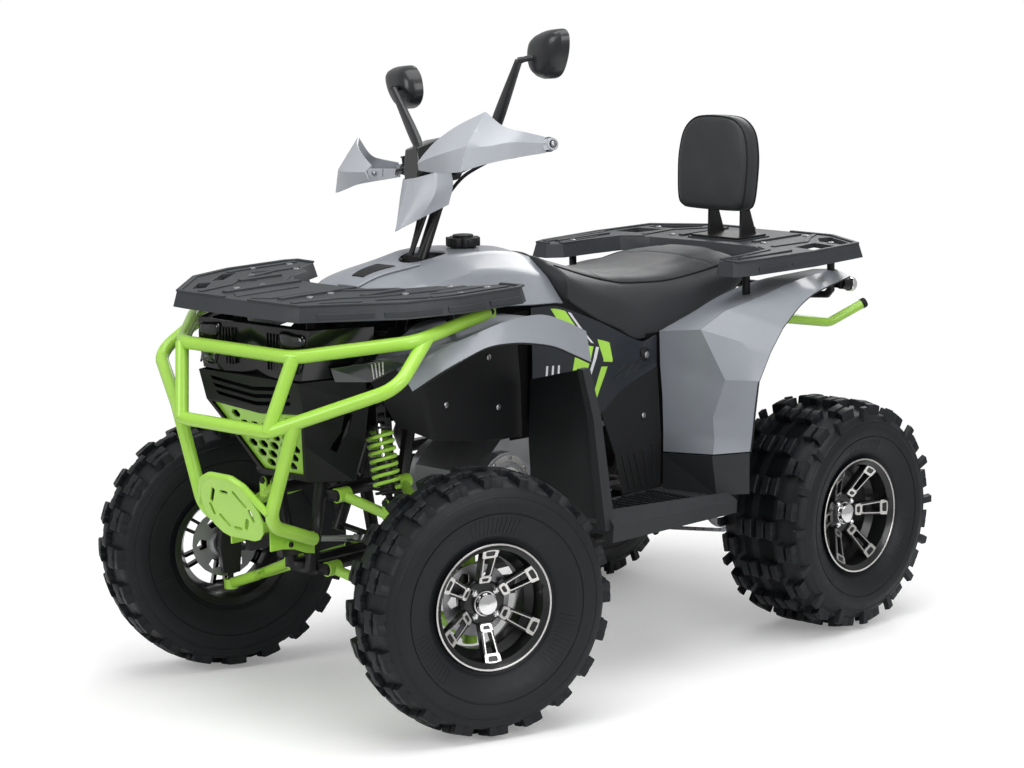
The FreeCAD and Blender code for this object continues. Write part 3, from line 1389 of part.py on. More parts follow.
def grips():
    """Left and right rubber grips over the bar's ends."""
    x, y, z = bar_head()
    start = (x - 53.3, GRIP_START + 8, z + 33.9)
    end = (x - 74, BAR_END, z + 32)
    sleeve = bar(start, end, 17, 10).cut(bar(start, end, BAR_R + 2.0, 8))
    return both_sides(sleeve)


def controls():
    """Switch cluster and brake perch on each side, with the two levers."""
    x, y, z = bar_head()
    centre = (x - 46, 200.0, z + 34.0)
    body = fused([
        block(centre[0] - 24, centre[0] + 26, 186, 226, z + 14, z + 56),
        bar((centre[0] + 28, 196, z + 30), (centre[0] + 58, 216, z + 26), 9),
        tube([(centre[0] + 50, 208, z + 27), (centre[0] + 48, 262, z + 26), (centre[0] + 12, 345, z + 22)],
             6, 30, 6),
    ])
    way = tube([(x, 60, z + 6), (x - 30, 170, z + 34), (x - 52, GRIP_START, z + 34),
                (x - 74, BAR_END, z + 32)],
               BAR_R + SEAT_GAP, 30)
    body = body.cut(way)
    return both_sides(body)


def meter_pod():
    """Instrument pod in front of the clamp, hexagonal, with a visor and a foot that rests against the
    clamp.
    """
    x, y, z = bar_head()
    front = [(x + 98, -28, z - 26), (x + 98, 28, z - 26), (x + 92, 40, z + 20), (x + 86, 32, z + 66),
             (x + 86, -32, z + 66), (x + 92, -40, z + 20)]
    back = [(x + 40, -38, z - 26), (x + 40, 38, z - 26), (x + 28, 56, z + 20), (x + 24, 44, z + 84),
            (x + 24, -44, z + 84), (x + 28, -56, z + 20)]
    foot = block(x + 18, x + 50, -26, 26, z - 2, z + 22)
    clamp = bar((x, -40, z + 4), (x, 40, z + 4), CLAMP_R + SEAT_GAP, 10)
    return fused([skin([front, back]), foot.cut(clamp)])


def bar_fairing():
    """Light gray fairing that hangs below the pod to a pointed chin."""
    x, y, z = bar_head()
    half_rows = [
        [(x + 100, 0, z - 2), (x + 98, 36, z - 2), (x + 70, 84, z + 4), (x + 44, 104, z + 12)],
        [(x + 122, 0, z - 50), (x + 112, 34, z - 46), (x + 76, 76, z - 40), (x + 40, 92, z - 24)],
        [(x + 150, 0, z - 118), (x + 140, 10, z - 112), (x + 112, 34, z - 92), (x + 60, 70, z - 64)],
    ]
    return panel(full_width(half_rows), 3)


def hand_guards():
    """Left and right guards: a shield in front of each grip with a raised peak, wrapped back to the bar's
    end.
    """
    x, y, z = bar_head()
    end = BAR_END + 10
    rows = [
        [(x + 126, 138, z + 42), (x + 118, 200, z + 70), (x + 96, 270, z + 96), (x + 59, 341, z + 118),
         (x - 4, 382, z + 84), (x - 58, end - 2, z + 54)],
        [(x + 142, 142, z + 27), (x + 146, 205, z + 32), (x + 142, 275, z + 38), (x + 118, 345, z + 46),
         (x + 34, 392, z + 44), (x - 58, end + 4, z + 35)],
        [(x + 138, 138, z + 10), (x + 142, 200, z + 2), (x + 142, 270, z - 5), (x + 135, 338, z - 8),
         (x + 40, 384, z + 8), (x - 58, end - 2, z + 14)],
    ]
    guard = panel(rows, 4)
    boss = bar((x - 74, BAR_END + 2.4, z + 32), (x - 74, end + 4, z + 32), 13, 8)
    strap = block(x - 80, x - 50, end - 3, end + 3, z + 22, z + 44)
    return both_sides(fused([guard, boss, strap]))


def mirrors():
    """Left and right mirrors: a tapered arm from the bar, a ball neck and a faceted shell."""
    arm = skin([
        square_at(MIRROR_BASE, 11, 9), square_at(along(MIRROR_BASE, MIRROR_JOINT, 70), 15, 9),
        square_at(MIRROR_JOINT, 8, 7),
    ])
    neck = bar(MIRROR_JOINT, along(MIRROR_JOINT, MIRROR_HEAD, 40), 7)
    x, y, z = MIRROR_HEAD
    outline = [(-66, -26), (-64, 20), (-32, 46), (44, 50), (76, 36), (66, -8), (24, -50), (-32, -52)]
    sections = []
    for forward, scale, inward in ((-24, 1.0, 0), (-4, 0.98, 0), (22, 0.6, 4)):
        sections.append([(x + forward, y + a * scale - inward, z + b * scale) for a, b in outline])
    return both_sides(fused([arm, neck, skin(sections)]))


def square_at(centre, wide, deep):
    """A slanted rectangle about a point of the mirror's arm."""
    x, y, z = centre
    rise = wide * 0.6
    return [(x - deep, y - wide, z + rise), (x + deep, y - wide, z + rise), (x + deep, y + wide, z - rise),
            (x - deep, y + wide, z - rise)]


# Tie rods

def steering_ends():
    """At rest: the pitman arm's two pins and the two steering arms' studs."""
    tilt = math.radians(COLUMN_TILT)
    foot = vec(*column_point(PITMAN_Z))
    back = vec(-math.cos(tilt), 0, -math.sin(tilt))
    ends = {}
    for name, side, angle in (("left", 1, LEFT_REST_ANGLE), ("right", -1, RIGHT_REST_ANGLE)):
        pin = Part.Vertex(foot + back * PITMAN_ARM + vec(0, side * PITMAN_HALF, 0) - column_axis() * 14)
        pin = steering_place(pin).Point
        swing = math.radians(angle)
        stud = vec(FRONT_X - STEERING_ARM * math.cos(swing),
                   side * KINGPIN_Y - STEERING_ARM * math.sin(swing), ROD_EYE_Z)
        ends[name] = (pin, stud)
    return ends


def tie_rod(pin, stud):
    """Rod with a housing on the pitman pin and an open eye round the steering arm's stud."""
    axis = column_axis()
    low, high = pin - axis * 7, pin + axis * 7
    inner = bar((low.x, low.y, low.z), (high.x, high.y, high.z), 12, 8)
    outer = bar((stud.x, stud.y, stud.z - 6), (stud.x, stud.y, stud.z + 6), 13, 8)
    body = fused([inner, outer, bar((pin.x, pin.y, pin.z), (stud.x, stud.y, stud.z), ROD_R)])
    body = body.cut(Part.makeCylinder(5 + SHAFT_FIT, 40, pin - axis * 20, axis))
    return body.cut(bar((stud.x, stud.y, stud.z - 20), (stud.x, stud.y, stud.z + 20), 9, 8))


def bar_cables():
    """Cables from the two clusters and the wires of the pod, down beside the column to just inside the
    cover's hole.
    """
    x, y, z = bar_head()
    cords = []
    for side, spread, low_x, low_y in ((1, 0, 22, 26), (-1, 14, 20, -27)):
        foot = column_point(CABLE_END_Z)
        middle = column_point(1070)
        cords.append(tube([
            (x - 26, side * 183, z + 18), (x - 2, side * 148, z + 4),
            (x + 20 + spread, side * 96, z - 16 - spread),
            (middle[0] + 18, side * 36, middle[2]), (foot[0] + low_x, low_y, CABLE_END_Z),
        ], CABLE_R, 34, 6, 3))
    foot = column_point(CABLE_END_Z)
    middle = column_point(1080)
    cords.append(tube([
        (x + 60, 14, z - 28), (x + 59, 14, z - 46), (middle[0] + 30, 10, middle[2]),
        (foot[0] + 32, -4, CABLE_END_Z),
    ], CABLE_R + 2, 18, 6, 3))
    return Part.makeCompound(cords)


# Lamps at the tail

def tail_lamps():
    """Round lamps at the tail, each with a lug against the rear rack's rearmost post."""
    lamp = [bar((-820, 300, 807), (-862, 300, 800), 15, 10), bar((-850, 300, 802), (-868, 300, 799), 18, 12)]
    face_x = TAIL_POST_X[1] - corner_reach(POST_R) - SEAT_GAP
    lug = block(-828, face_x, TAIL_POST_Y - 8, 306, 796, 818)
    return both_sides(fused(lamp + [lug]))


# Every sub-part, written to its own file

def build():
    shapes = {
        "frame": frame(),
        "engine": engine(),
        "exhaust": exhaust(),
        "fuel_tank": fuel_tank(),
        "wishbones": Part.makeCompound([both_sides(upper_wishbone()), both_sides(lower_wishbone())]),
        "front_dampers": both_sides(shock(SHOCK_TOP, SHOCK_BOTTOM, X_AXIS)),
        "front_springs": both_sides(coil_spring(SHOCK_TOP, SHOCK_BOTTOM, SPRING_R, SPRING_WIRE,
                                                SPRING_TURNS)),
        "swingarm": swingarm(),
        "rear_damper": shock(REAR_SHOCK_TOP, REAR_SHOCK_BOTTOM, Y_AXIS, 1.15),
        "front_bumper": bumper(),
        "front_rack": front_rack(),
        "rear_rack": rear_rack(),
        "rear_bar": rear_bar(),
        "front_fenders": both_sides(front_fender()),
        "inner_guards": both_sides(inner_guard()),
        "tank_cover": tank_cover(),
        "fuel_cap": fuel_cap(),
        "rear_fenders": both_sides(rear_fender()),
        "side_panels": both_sides(side_panel()),
        "heel_panels": both_sides(heel_panel()),
        "footwells": both_sides(footwell()),
        "nose_cover": nose_cover(),
        "nose_cowl": nose_cowl(),
        "upper_lamps": both_sides(upper_lamp()),
        "lower_lamps": both_sides(lower_lamp()),
        "grille": grille(),
        "seat": seat(),
        "backrest": backrest(),
        "backrest_bracket": backrest_bracket(),
        "tail_lamps": tail_lamps(),
        "drive_chain": drive_chain(),
        "handlebar": steering_place(handlebar()),
        "grips": steering_place(grips()),
        "controls": steering_place(controls()),
        "meter_pod": steering_place(meter_pod()),
        "bar_fairing": steering_place(bar_fairing()),
        "hand_guards": steering_place(hand_guards()),
        "bar_cables": steering_place(bar_cables()),
        "mirrors": steering_place(mirrors()),
        "rear_axle": rear_axle(),
        "rear_sprocket": rear_sprocket(),
        "rear_disc": rear_disc(),
    }
    front_tyre = tyre(FRONT_TYRE_R, FRONT_TYRE_W, FRONT_RIM_HALF, FRONT_LUG_H, FRONT_TREAD_PITCHES,
                      FRONT_FLAT_HALF,
                      FRONT_LUGS)
    front_rim = rim(FRONT_RIM_HALF, FRONT_HUB_FACE, FRONT_TREAD_PITCHES, 30)
    place = {"left": placed_left, "right": placed_right}
    ends = steering_ends()
    for side in ("left", "right"):
        shapes["knuckle_" + side] = place[side](knuckle())
        shapes["front_hub_" + side] = place[side](front_hub())
        shapes["front_rim_" + side] = place[side](front_rim)
        shapes["front_tyre_" + side] = place[side](front_tyre)
        shapes["tie_rod_" + side] = tie_rod(*ends[side])
    rear_place = vec(REAR_X, REAR_TRACK / 2, REAR_TYRE_R)
    rear_tyre = tyre(REAR_TYRE_R, REAR_TYRE_W, REAR_RIM_HALF, REAR_LUG_H, REAR_TREAD_PITCHES,
                     REAR_FLAT_HALF, REAR_LUGS)
    shapes["rear_tyres"] = both_sides(moved(rear_tyre, rear_place))
    shapes["rear_rims"] = both_sides(moved(rim(REAR_RIM_HALF, REAR_HUB_FACE, REAR_TREAD_PITCHES, 0),
                                           rear_place))
    return shapes


os.makedirs("parts", exist_ok=True)
for name, shape in build().items():
    shape.exportStep("parts/" + name + ".step")
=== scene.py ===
import bpy
import bmesh
import math
import numpy as np
from mathutils import Matrix, Vector
from mathutils.geometry import delaunay_2d_cdt


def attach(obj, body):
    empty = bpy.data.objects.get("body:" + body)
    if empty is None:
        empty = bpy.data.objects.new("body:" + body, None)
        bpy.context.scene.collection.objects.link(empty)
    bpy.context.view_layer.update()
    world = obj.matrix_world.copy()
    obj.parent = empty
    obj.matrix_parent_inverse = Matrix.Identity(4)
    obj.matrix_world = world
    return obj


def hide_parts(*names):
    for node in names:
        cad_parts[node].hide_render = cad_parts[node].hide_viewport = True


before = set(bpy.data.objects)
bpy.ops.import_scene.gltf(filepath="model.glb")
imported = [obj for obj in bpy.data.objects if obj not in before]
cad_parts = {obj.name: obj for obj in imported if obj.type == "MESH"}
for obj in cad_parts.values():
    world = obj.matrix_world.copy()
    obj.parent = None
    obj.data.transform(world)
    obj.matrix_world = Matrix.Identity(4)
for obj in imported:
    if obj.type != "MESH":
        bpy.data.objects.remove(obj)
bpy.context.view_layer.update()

# Dimensions in millimetres, as in the part's source
WHEELBASE = 1223.0
FRONT_X = WHEELBASE / 2
FRONT_TRACK = 890.0
REAR_TRACK = 832.0
FRONT_TYRE_R = 292.0
FRONT_TYRE_W = 178.0
REAR_TYRE_R = 280.0
REAR_TYRE_W = 254.0
FRONT_LUG_H = 15.0
REAR_LUG_H = 19.0
FRONT_PITCHES = 20
REAR_PITCHES = 16
RIM_FLANGE_R = 140.0
RIM_SEAT_R = 128.0
RIM_WELL_R = 110.0
FRONT_RIM_HALF = 72.0
REAR_RIM_HALF = 105.0
FRONT_HUB_FACE = 22.0
REAR_HUB_FACE = 50.0
PANEL_T = 3.5
KINGPIN_Y = FRONT_TRACK / 2 - 50.0
LEFT_REST = math.radians(-18.2)
RIGHT_REST = math.radians(-22.8)
BAR_REST = math.radians(-20.5)
COLUMN_TILT = math.radians(26.0)
COLUMN_BASE = np.array([300.0, 0.0, 1062.0])
COLUMN_AXIS = np.array([-math.sin(COLUMN_TILT), 0, math.cos(COLUMN_TILT)])
BAR_HEAD = COLUMN_BASE + np.array([-math.tan(COLUMN_TILT), 0, 1.0]) * 96.0

# The chain
CHAIN_Y = 92.0
CHAIN_PITCH = 15.875
CHAIN_ROLLER = 1.8 + 4.5
REAR_SPROCKET_R = 88.0
FRONT_SPROCKET = (-20.0, 340.0, 28.0)  # forward, up, radius

# The bumper's nodes on the left, places in (forward, left, up)
HOOP_TOP_BEND = (909.0, 182.0, 835.0)
HOOP_TOP_CORNER = (719.0, 360.0, 862.0)
HOOP_TOP_END = (463.0, 322.0, 889.0)
HOOP_MID_BEND = (952.0, 141.0, 675.0)
HOOP_MID_CORNER = (804.0, 390.0, 776.0)
HOOP_MID_END = (680.0, 354.0, 862.0)
LEG_TOP = (921.0, 193.0, 696.0)
LEG_KNEE = (926.0, 104.0, 462.0)
LEG_END = (772.0, 78.0, 402.0)
PLATE_Y = 62.0
BUMPER_R = 15.0

# The ends of the dampers
SHOCK_TOP = (650.0, 162.0, 662.0)
SHOCK_BOTTOM = (656.0, 202.0, 482.0)
REAR_SHOCK_TOP = (-430.0, 0.0, 672.0)
REAR_SHOCK_BOTTOM = (-505.0, 0.0, 400.0)

# The left mirror's arm and head, straight ahead
MIRROR_BASE = np.array([226.0, 182.0, 1220.7])
MIRROR_JOINT = np.array([210.0, 328.0, 1381.0])
MIRROR_HEAD = np.array([167.0, 373.0, 1388.0])


# Numpy helpers

def arr(points):
    return np.array(points, float)


def turn_about(points, base, axis, angle):
    p = arr(points) - base
    n = arr(axis) / np.linalg.norm(axis)
    c, s = math.cos(angle), math.sin(angle)
    return p * c + np.cross(n, p) * s + np.outer(p @ n, n) * (1 - c) + base


def steered(points):
    """From straight ahead to the bar's rest angle about the steering column."""
    return turn_about(points, COLUMN_BASE, COLUMN_AXIS, BAR_REST)


def mirror_y(points):
    return arr(points) * np.array([1, -1, 1])


def flipped(faces):
    return [tuple(reversed(f)) for f in faces]


def on_wheel(part, wheel):
    """From the wheel's own frame, outer side towards +Y, to its place on the quad."""
    points, faces = part
    side = 1
    if wheel.endswith("right"):
        side, points, faces = -1, mirror_y(points), flipped(faces)
    if wheel.startswith("rear"):
        return points + arr((-FRONT_X, side * REAR_TRACK / 2, REAR_TYRE_R)), faces
    points = points + arr((FRONT_X, side * FRONT_TRACK / 2, FRONT_TYRE_R))
    angle = LEFT_REST if side > 0 else RIGHT_REST
    return turn_about(points, arr((FRONT_X, side * KINGPIN_Y, 0)), (0, 0, 1), angle), faces


# Materials

def principled(name, color, rough, metal=0.0, coat=0.0, sheen=0.0, gleam=0.5):
    m = bpy.data.materials.new(name)
    m.use_nodes = True
    nt = m.node_tree
    b = nt.nodes["Principled BSDF"]
    values = {
        "Base Color": (*color, 1), "Roughness": rough, "Metallic": metal, "Coat Weight": coat,
        "Coat Roughness": 0.12, "IOR": 1.5, "Sheen Weight": sheen, "Specular IOR Level": gleam,
    }
    for socket, value in values.items():
        b.inputs[socket].default_value = value
    return m, nt, b


def noise(nt, scale, detail=3.0, rough=0.55, coords=None):
    n = nt.nodes.new("ShaderNodeTexNoise")
    n.inputs["Scale"].default_value = scale
    n.inputs["Detail"].default_value = detail
    n.inputs["Roughness"].default_value = rough
    if coords is None:
        coords = nt.nodes.new("ShaderNodeTexCoord").outputs["Object"]
    nt.links.new(coords, n.inputs["Vector"])
    return n


def ramp(nt, source, stops):
    r = nt.nodes.new("ShaderNodeValToRGB")
    r.color_ramp.elements[0].position = stops[0][0]
    r.color_ramp.elements[0].color = (*stops[0][1], 1)
    r.color_ramp.elements[1].position = stops[-1][0]
    r.color_ramp.elements[1].color = (*stops[-1][1], 1)
    for pos, col in stops[1:-1]:
        e = r.color_ramp.elements.new(pos)
        e.color = (*col, 1)
    nt.links.new(source, r.inputs["Fac"])
    return r


def remap(nt, source, low, high):
    r = nt.nodes.new("ShaderNodeMapRange")
    r.inputs["To Min"].default_value = low
    r.inputs["To Max"].default_value = high
    nt.links.new(source, r.inputs["Value"])
    return r


def bump(nt, b, source, strength, distance, chain=None):
    n = nt.nodes.new("ShaderNodeBump")
    n.inputs["Strength"].default_value = strength
    n.inputs["Distance"].default_value = distance
    nt.links.new(source, n.inputs["Height"])
    if chain is not None:
        nt.links.new(chain.outputs["Normal"], n.inputs["Normal"])
    nt.links.new(n.outputs["Normal"], b.inputs["Normal"])
    return n


def surfaced(name, color, rough, spread=0.08, tone=0.06, grain=0.0, grain_scale=900.0, metal=0.0, coat=0.0,
             mottle=18.0, sheen=0.0, orange=0.0, gleam=0.5):
    """Mottled colour, uneven roughness and a fine grain, all from noise in the object's frame."""
    m, nt, b = principled(name, color, rough, metal, coat, sheen=sheen, gleam=gleam)
    coords = nt.nodes.new("ShaderNodeTexCoord").outputs["Object"]
    large = noise(nt, mottle, 4.0, 0.6, coords)
    c = np.array(color)
    r = ramp(nt, large.outputs["Fac"],
             [(0.3, tuple(c * (1 - tone))), (0.7, tuple(np.minimum(c * (1 + tone), 1)))])
    nt.links.new(r.outputs["Color"], b.inputs["Base Color"])
    fine = noise(nt, mottle * 6, 5.0, 0.6, coords)
    rr = remap(nt, fine.outputs["Fac"], max(rough - spread, 0.02), min(rough + spread, 1))
    nt.links.new(rr.outputs["Result"], b.inputs["Roughness"])
    chain = None
    if orange:
        peel = noise(nt, 220.0, 2.0, 0.5, coords)
        chain = bump(nt, b, peel.outputs["Fac"], orange, 0.0006)
    if grain:
        g = noise(nt, grain_scale, 4.0, 0.7, coords)
        bump(nt, b, g.outputs["Fac"], grain, 0.0004, chain)
    return m


M = {}
M["lime"] = surfaced("lime_powder", (0.385, 0.70, 0.075), 0.32, 0.06, 0.03, coat=0.3, orange=0.2)
M["grey"] = surfaced("grey_paint", (0.235, 0.250, 0.280), 0.33, 0.05, 0.03, coat=0.35, orange=0.08)
M["pale"] = surfaced("pale_paint", (0.40, 0.42, 0.455), 0.36, 0.05, 0.03, coat=0.3, orange=0.08)
M["rack"] = surfaced("rack_plastic", (0.030, 0.033, 0.038), 0.50, 0.08, 0.08, grain=0.45, grain_scale=1400,
                     gleam=0.42)
M["black"] = surfaced("black_plastic", (0.0085, 0.0090, 0.0100), 0.46, 0.08, 0.10, grain=0.3,
                      grain_scale=1500, gleam=0.30)
M["gloss"] = surfaced("gloss_plastic", (0.006, 0.0065, 0.007), 0.12, 0.04, 0.08, coat=0.5, gleam=0.40)
M["navy"] = surfaced("navy_panel", (0.013, 0.016, 0.022), 0.30, 0.06, 0.06, coat=0.25, gleam=0.35)
M["floor_plastic"] = surfaced("floor_plastic", (0.024, 0.026, 0.029), 0.55, 0.08, 0.07, grain=0.5,
                              grain_scale=1300, gleam=0.30)
M["black_metal"] = surfaced("black_metal", (0.0090, 0.0090, 0.0100), 0.40, 0.10, 0.10, coat=0.08,
                            orange=0.2, gleam=0.32)
M["rim_black"] = surfaced("rim_black", (0.0080, 0.0085, 0.0090), 0.30, 0.06, 0.08, coat=0.3, gleam=0.35)
M["machined"] = surfaced("machined_alloy", (0.70, 0.69, 0.67), 0.28, 0.08, 0.05, metal=1.0)
M["chrome"] = surfaced("chrome", (0.82, 0.82, 0.83), 0.10, 0.05, 0.03, metal=1.0)
M["alloy"] = surfaced("cast_alloy", (0.50, 0.51, 0.53), 0.46, 0.10, 0.08, grain=0.4, grain_scale=700,
                      metal=0.9)
M["steel"] = surfaced("steel", (0.42, 0.42, 0.44), 0.34, 0.10, 0.08, metal=1.0)
M["rubber"] = surfaced("rubber", (0.011, 0.011, 0.012), 0.66, 0.08, 0.10, grain=0.3, grain_scale=1200,
                       gleam=0.28)
M["tyre"] = surfaced("tyre_rubber", (0.0066, 0.0078, 0.0100), 0.50, 0.12, 0.16, grain=0.35, grain_scale=800,
                     mottle=9, gleam=0.32)
M["cable"] = surfaced("cable_sheath", (0.009, 0.009, 0.010), 0.42, 0.06, 0.08, grain=0.2, gleam=0.35)
M["white"] = surfaced("white_print", (0.66, 0.67, 0.69), 0.36, 0.05, 0.03, coat=0.3)
M["red"] = surfaced("red_lens", (0.45, 0.02, 0.015), 0.18, 0.05, 0.05, coat=0.5)
M["glass"] = surfaced("mirror_glass", (0.72, 0.74, 0.76), 0.04, 0.02, 0.02, metal=1.0)
M["mirror_black"] = surfaced("mirror_black", (0.014, 0.015, 0.017), 0.30, 0.06, 0.08, coat=0.2, orange=0.1,
                             gleam=0.45)
M["liner"] = surfaced("liner_plastic", (0.004, 0.004, 0.0045), 0.8, 0.06, 0.08, gleam=0.1)
M["lamp_dark"] = surfaced("lamp_dark", (0.030, 0.033, 0.038), 0.10, 0.04, 0.08, coat=0.8)


def vinyl(name, color):
    """Seat cover: a fine leather grain of small cells with soft creases."""
    m, nt, b = principled(name, color, 0.46, sheen=0.12, gleam=0.42)
    b.inputs["Sheen Roughness"].default_value = 0.45
    coords = nt.nodes.new("ShaderNodeTexCoord").outputs["Object"]
    large = noise(nt, 7.0, 4.0, 0.6, coords)
    c = np.array(color)
    r = ramp(nt, large.outputs["Fac"], [(0.3, tuple(c * 0.86)), (0.7, tuple(c * 1.16))])
    nt.links.new(r.outputs["Color"], b.inputs["Base Color"])
    cells = nt.nodes.new("ShaderNodeTexVoronoi")
    cells.feature = "DISTANCE_TO_EDGE"
    cells.inputs["Scale"].default_value = 620.0
    nt.links.new(coords, cells.inputs["Vector"])
    rr = remap(nt, large.outputs["Fac"], 0.38, 0.55)
    nt.links.new(rr.outputs["Result"], b.inputs["Roughness"])
    first = bump(nt, b, cells.outputs["Distance"], 0.45, 0.0005)
    bump(nt, b, noise(nt, 160.0, 3.0, 0.6, coords).outputs["Fac"], 0.25, 0.0008, first)
    return m


M["vinyl"] = vinyl("saddle_vinyl", (0.022, 0.024, 0.027))


def smoked(name, color, rough):
    m, nt, b = principled(name, color, rough, coat=0.5)
    b.inputs["Transmission Weight"].default_value = 1.0
    b.inputs["IOR"].default_value = 1.45
    n = noise(nt, 60.0, 2.0)
    rr = remap(nt, n.outputs["Fac"], max(rough - 0.02, 0), rough + 0.03)
    nt.links.new(rr.outputs["Result"], b.inputs["Roughness"])
    return m


M["lens"] = smoked("smoked_lens", (0.42, 0.45, 0.48), 0.05)


# Meshes

def add_part(name, part, mat, sharp=40, body="chassis", node=None):
    """An object from (vertices in millimetres, faces) on its body. node is the solid that it stands for."""
    verts, faces = part
    me = bpy.data.meshes.new(name)
    me.from_pydata((arr(verts) * 0.001).tolist(), [], [tuple(int(i) for i in f) for f in faces])
    me.validate()
    me.materials.append(M[mat])
    o = bpy.data.objects.new(name, me)
    bpy.context.scene.collection.objects.link(o)
    smooth_by(o, sharp)
    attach(o, body)
    if node:
        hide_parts(node)
    return o


def smooth_by(o, degrees):
    me = o.data
    me.shade_smooth()
    me.set_sharp_from_angle(angle=math.radians(degrees))


def joined(parts):
    """One list of vertices and faces from several (vertices, faces) pairs."""
    verts, faces, start = [], [], 0
    for v, f in parts:
        v = arr(v)
        verts.append(v)
        faces.extend(tuple(i + start for i in face) for face in f)
        start += len(v)
    return np.concatenate(verts), faces


def both(part):
    v, f = part
    return joined([part, (mirror_y(v), flipped(f))])


def lofted(rings, start=True, end=True):
    """Rings with the same number of points, joined in their order, with flat ends."""
    n = len(rings[0])
    faces = []
    for k in range(len(rings) - 1):
        for m in range(n):
            q = (m + 1) % n
            faces.append((k * n + m, k * n + q, (k + 1) * n + q, (k + 1) * n + m))
    if start:
        faces.append(tuple(reversed(range(n))))
    if end:
        faces.append(tuple((len(rings) - 1) * n + m for m in range(n)))
    return np.concatenate([arr(ring) for ring in rings]), faces


def circle(centre, side, up, radius, count):
    """Points round a centre, from the direction side towards the direction up."""
    angles = [2 * math.pi * m / count for m in range(count)]
    return [centre + (side * math.cos(a) + up * math.sin(a)) * radius for a in angles]


def box_part(x0, x1, y0, y1, z0, z1):
    v = [(x, y, z) for x in (x0, x1) for y in (y0, y1) for z in (z0, z1)]
    f = [(0, 1, 3, 2), (4, 6, 7, 5), (0, 4, 5, 1), (2, 3, 7, 6), (0, 2, 6, 4), (1, 5, 7, 3)]
    return arr(v), f


def frame_of(direction):
    d = arr(direction)
    d = d / np.linalg.norm(d)
    up = np.array([0, 0, 1.0]) if abs(d[2]) < 0.9 else np.array([1.0, 0, 0])
    side = np.cross(d, up)
    side /= np.linalg.norm(side)
    return d, side, np.cross(side, d)


def rounded_path(points, bend, steps=8):
    """The line through points with its corners rounded to the bend radius, for rigid tubes."""
    p = [arr(q) for q in points]
    path = [p[0]]
    for a, c, b in zip(p, p[1:], p[2:]):
        u, w = (c - a) / np.linalg.norm(c - a), (b - c) / np.linalg.norm(b - c)
        cosine = float(np.clip(u @ w, -1, 1))
        turn = math.acos(cosine)
        if turn < 0.02:
            path.append(c)
            continue
        reach = min(bend * math.tan(turn / 2), 0.49 * np.linalg.norm(c - a), 0.49 * np.linalg.norm(b - c))
        r = reach / math.tan(turn / 2)
        inward = (w - u) / np.linalg.norm(w - u)
        centre = c + inward * (r / math.cos(turn / 2))
        start = c - u * reach - centre
        axis = np.cross(u, w)
        for k in range(steps + 1):
            path.append(turn_about([start], np.zeros(3), axis, turn * k / steps)[0] + centre)
    path.append(p[-1])
    return np.array(path)


def sweep(path, radius, sides=20):
    """A round tube along a path. radius is one number or one for each point."""
    path = arr(path)
    radii = np.full(len(path), float(radius)) if np.isscalar(radius) else arr(radius)
    tangents = np.gradient(path, axis=0)
    tangents /= np.linalg.norm(tangents, axis=1)[:, None]
    side = frame_of(tangents[0])[1]
    rings = []
    for point, tangent, r in zip(path, tangents, radii):
        side = side - tangent * (side @ tangent)
        side /= np.linalg.norm(side)
        rings.append(circle(point, side, np.cross(tangent, side), r, sides))
    return lofted(rings)


def revolve_part(profile, steps=72):
    """A closed profile of (offset, radius) points turned about the Y axis."""
    count = len(profile)
    verts, faces = [], []
    for k in range(steps):
        a, n = 2 * math.pi * k / steps, (k + 1) % steps
        verts.extend((r * math.cos(a), w, r * math.sin(a)) for w, r in profile)
        for m in range(count):
            q = (m + 1) % count
            faces.append((k * count + m, n * count + m, n * count + q, k * count + q))
    return np.array(verts), flipped(faces)


def extruded(points, sweep_vector):
    """A prism over a flat outline."""
    p = arr(points)
    n = len(p)
    q = p + arr(sweep_vector)
    normal = np.zeros(3)
    for k in range(n):
        normal += np.cross(p[k], p[(k + 1) % n])
    faces = [tuple(reversed(range(n))), tuple(range(n, 2 * n))]
    for k in range(n):
        m = (k + 1) % n
        faces.append((k, m, n + m, n + k))
    if normal @ arr(sweep_vector) < 0:
        faces = flipped(faces)
    return np.concatenate([p, q]), faces


def hermite(a, b, leaving, arriving, f):
    """From a to b with the given directions at the ends, at the share f of the way."""
    f2, f3 = f * f, f * f * f
    return (a * (2 * f3 - 3 * f2 + 1) + leaving * (f3 - 2 * f2 + f) + b * (3 * f2 - 2 * f3)
            + arriving * (f3 - f2))


class Skin:
    """A smooth surface through a grid of points, with creases along chosen rows and columns."""

    def __init__(self, rows, creased_rows=(), creased_cols=()):
        self.g = arr(rows)
        self.creased_rows, self.creased_cols = set(creased_rows), set(creased_cols)

    @staticmethod
    def line(pts, breaks, t):
        n = len(pts)
        k = min(int(t), n - 2)
        a, b = pts[k], pts[k + 1]
        leaving = (b - a) if (k == 0 or k in breaks) else (b - pts[k - 1]) * 0.5
        arriving = (b - a) if (k + 2 >= n or (k + 1) in breaks) else (pts[k + 2] - a) * 0.5
        limit = np.linalg.norm(b - a)
        for v in (leaving, arriving):
            length = np.linalg.norm(v)
            if length > limit > 0:
                v *= limit / length
        return hermite(a, b, leaving, arriving, t - k)

    def at(self, u, v):
        """u runs over the rows, v over the columns, in grid units."""
        column = np.array([self.line(self.g[:, j], self.creased_rows, u) for j in range(self.g.shape[1])])
        return self.line(column, self.creased_cols, v)

    def grid(self, per=6):
        nr, nc = self.g.shape[:2]
        us = np.linspace(0, nr - 1, (nr - 1) * per + 1)
        vs = np.linspace(0, nc - 1, (nc - 1) * per + 1)
        return np.array([[self.at(u, v) for v in vs] for u in us])


def normals_of(g):
    du = np.gradient(g, axis=0)
    dv = np.gradient(g, axis=1)
    n = np.cross(du, dv)
    return n / np.maximum(np.linalg.norm(n, axis=2), 1e-9)[:, :, None]


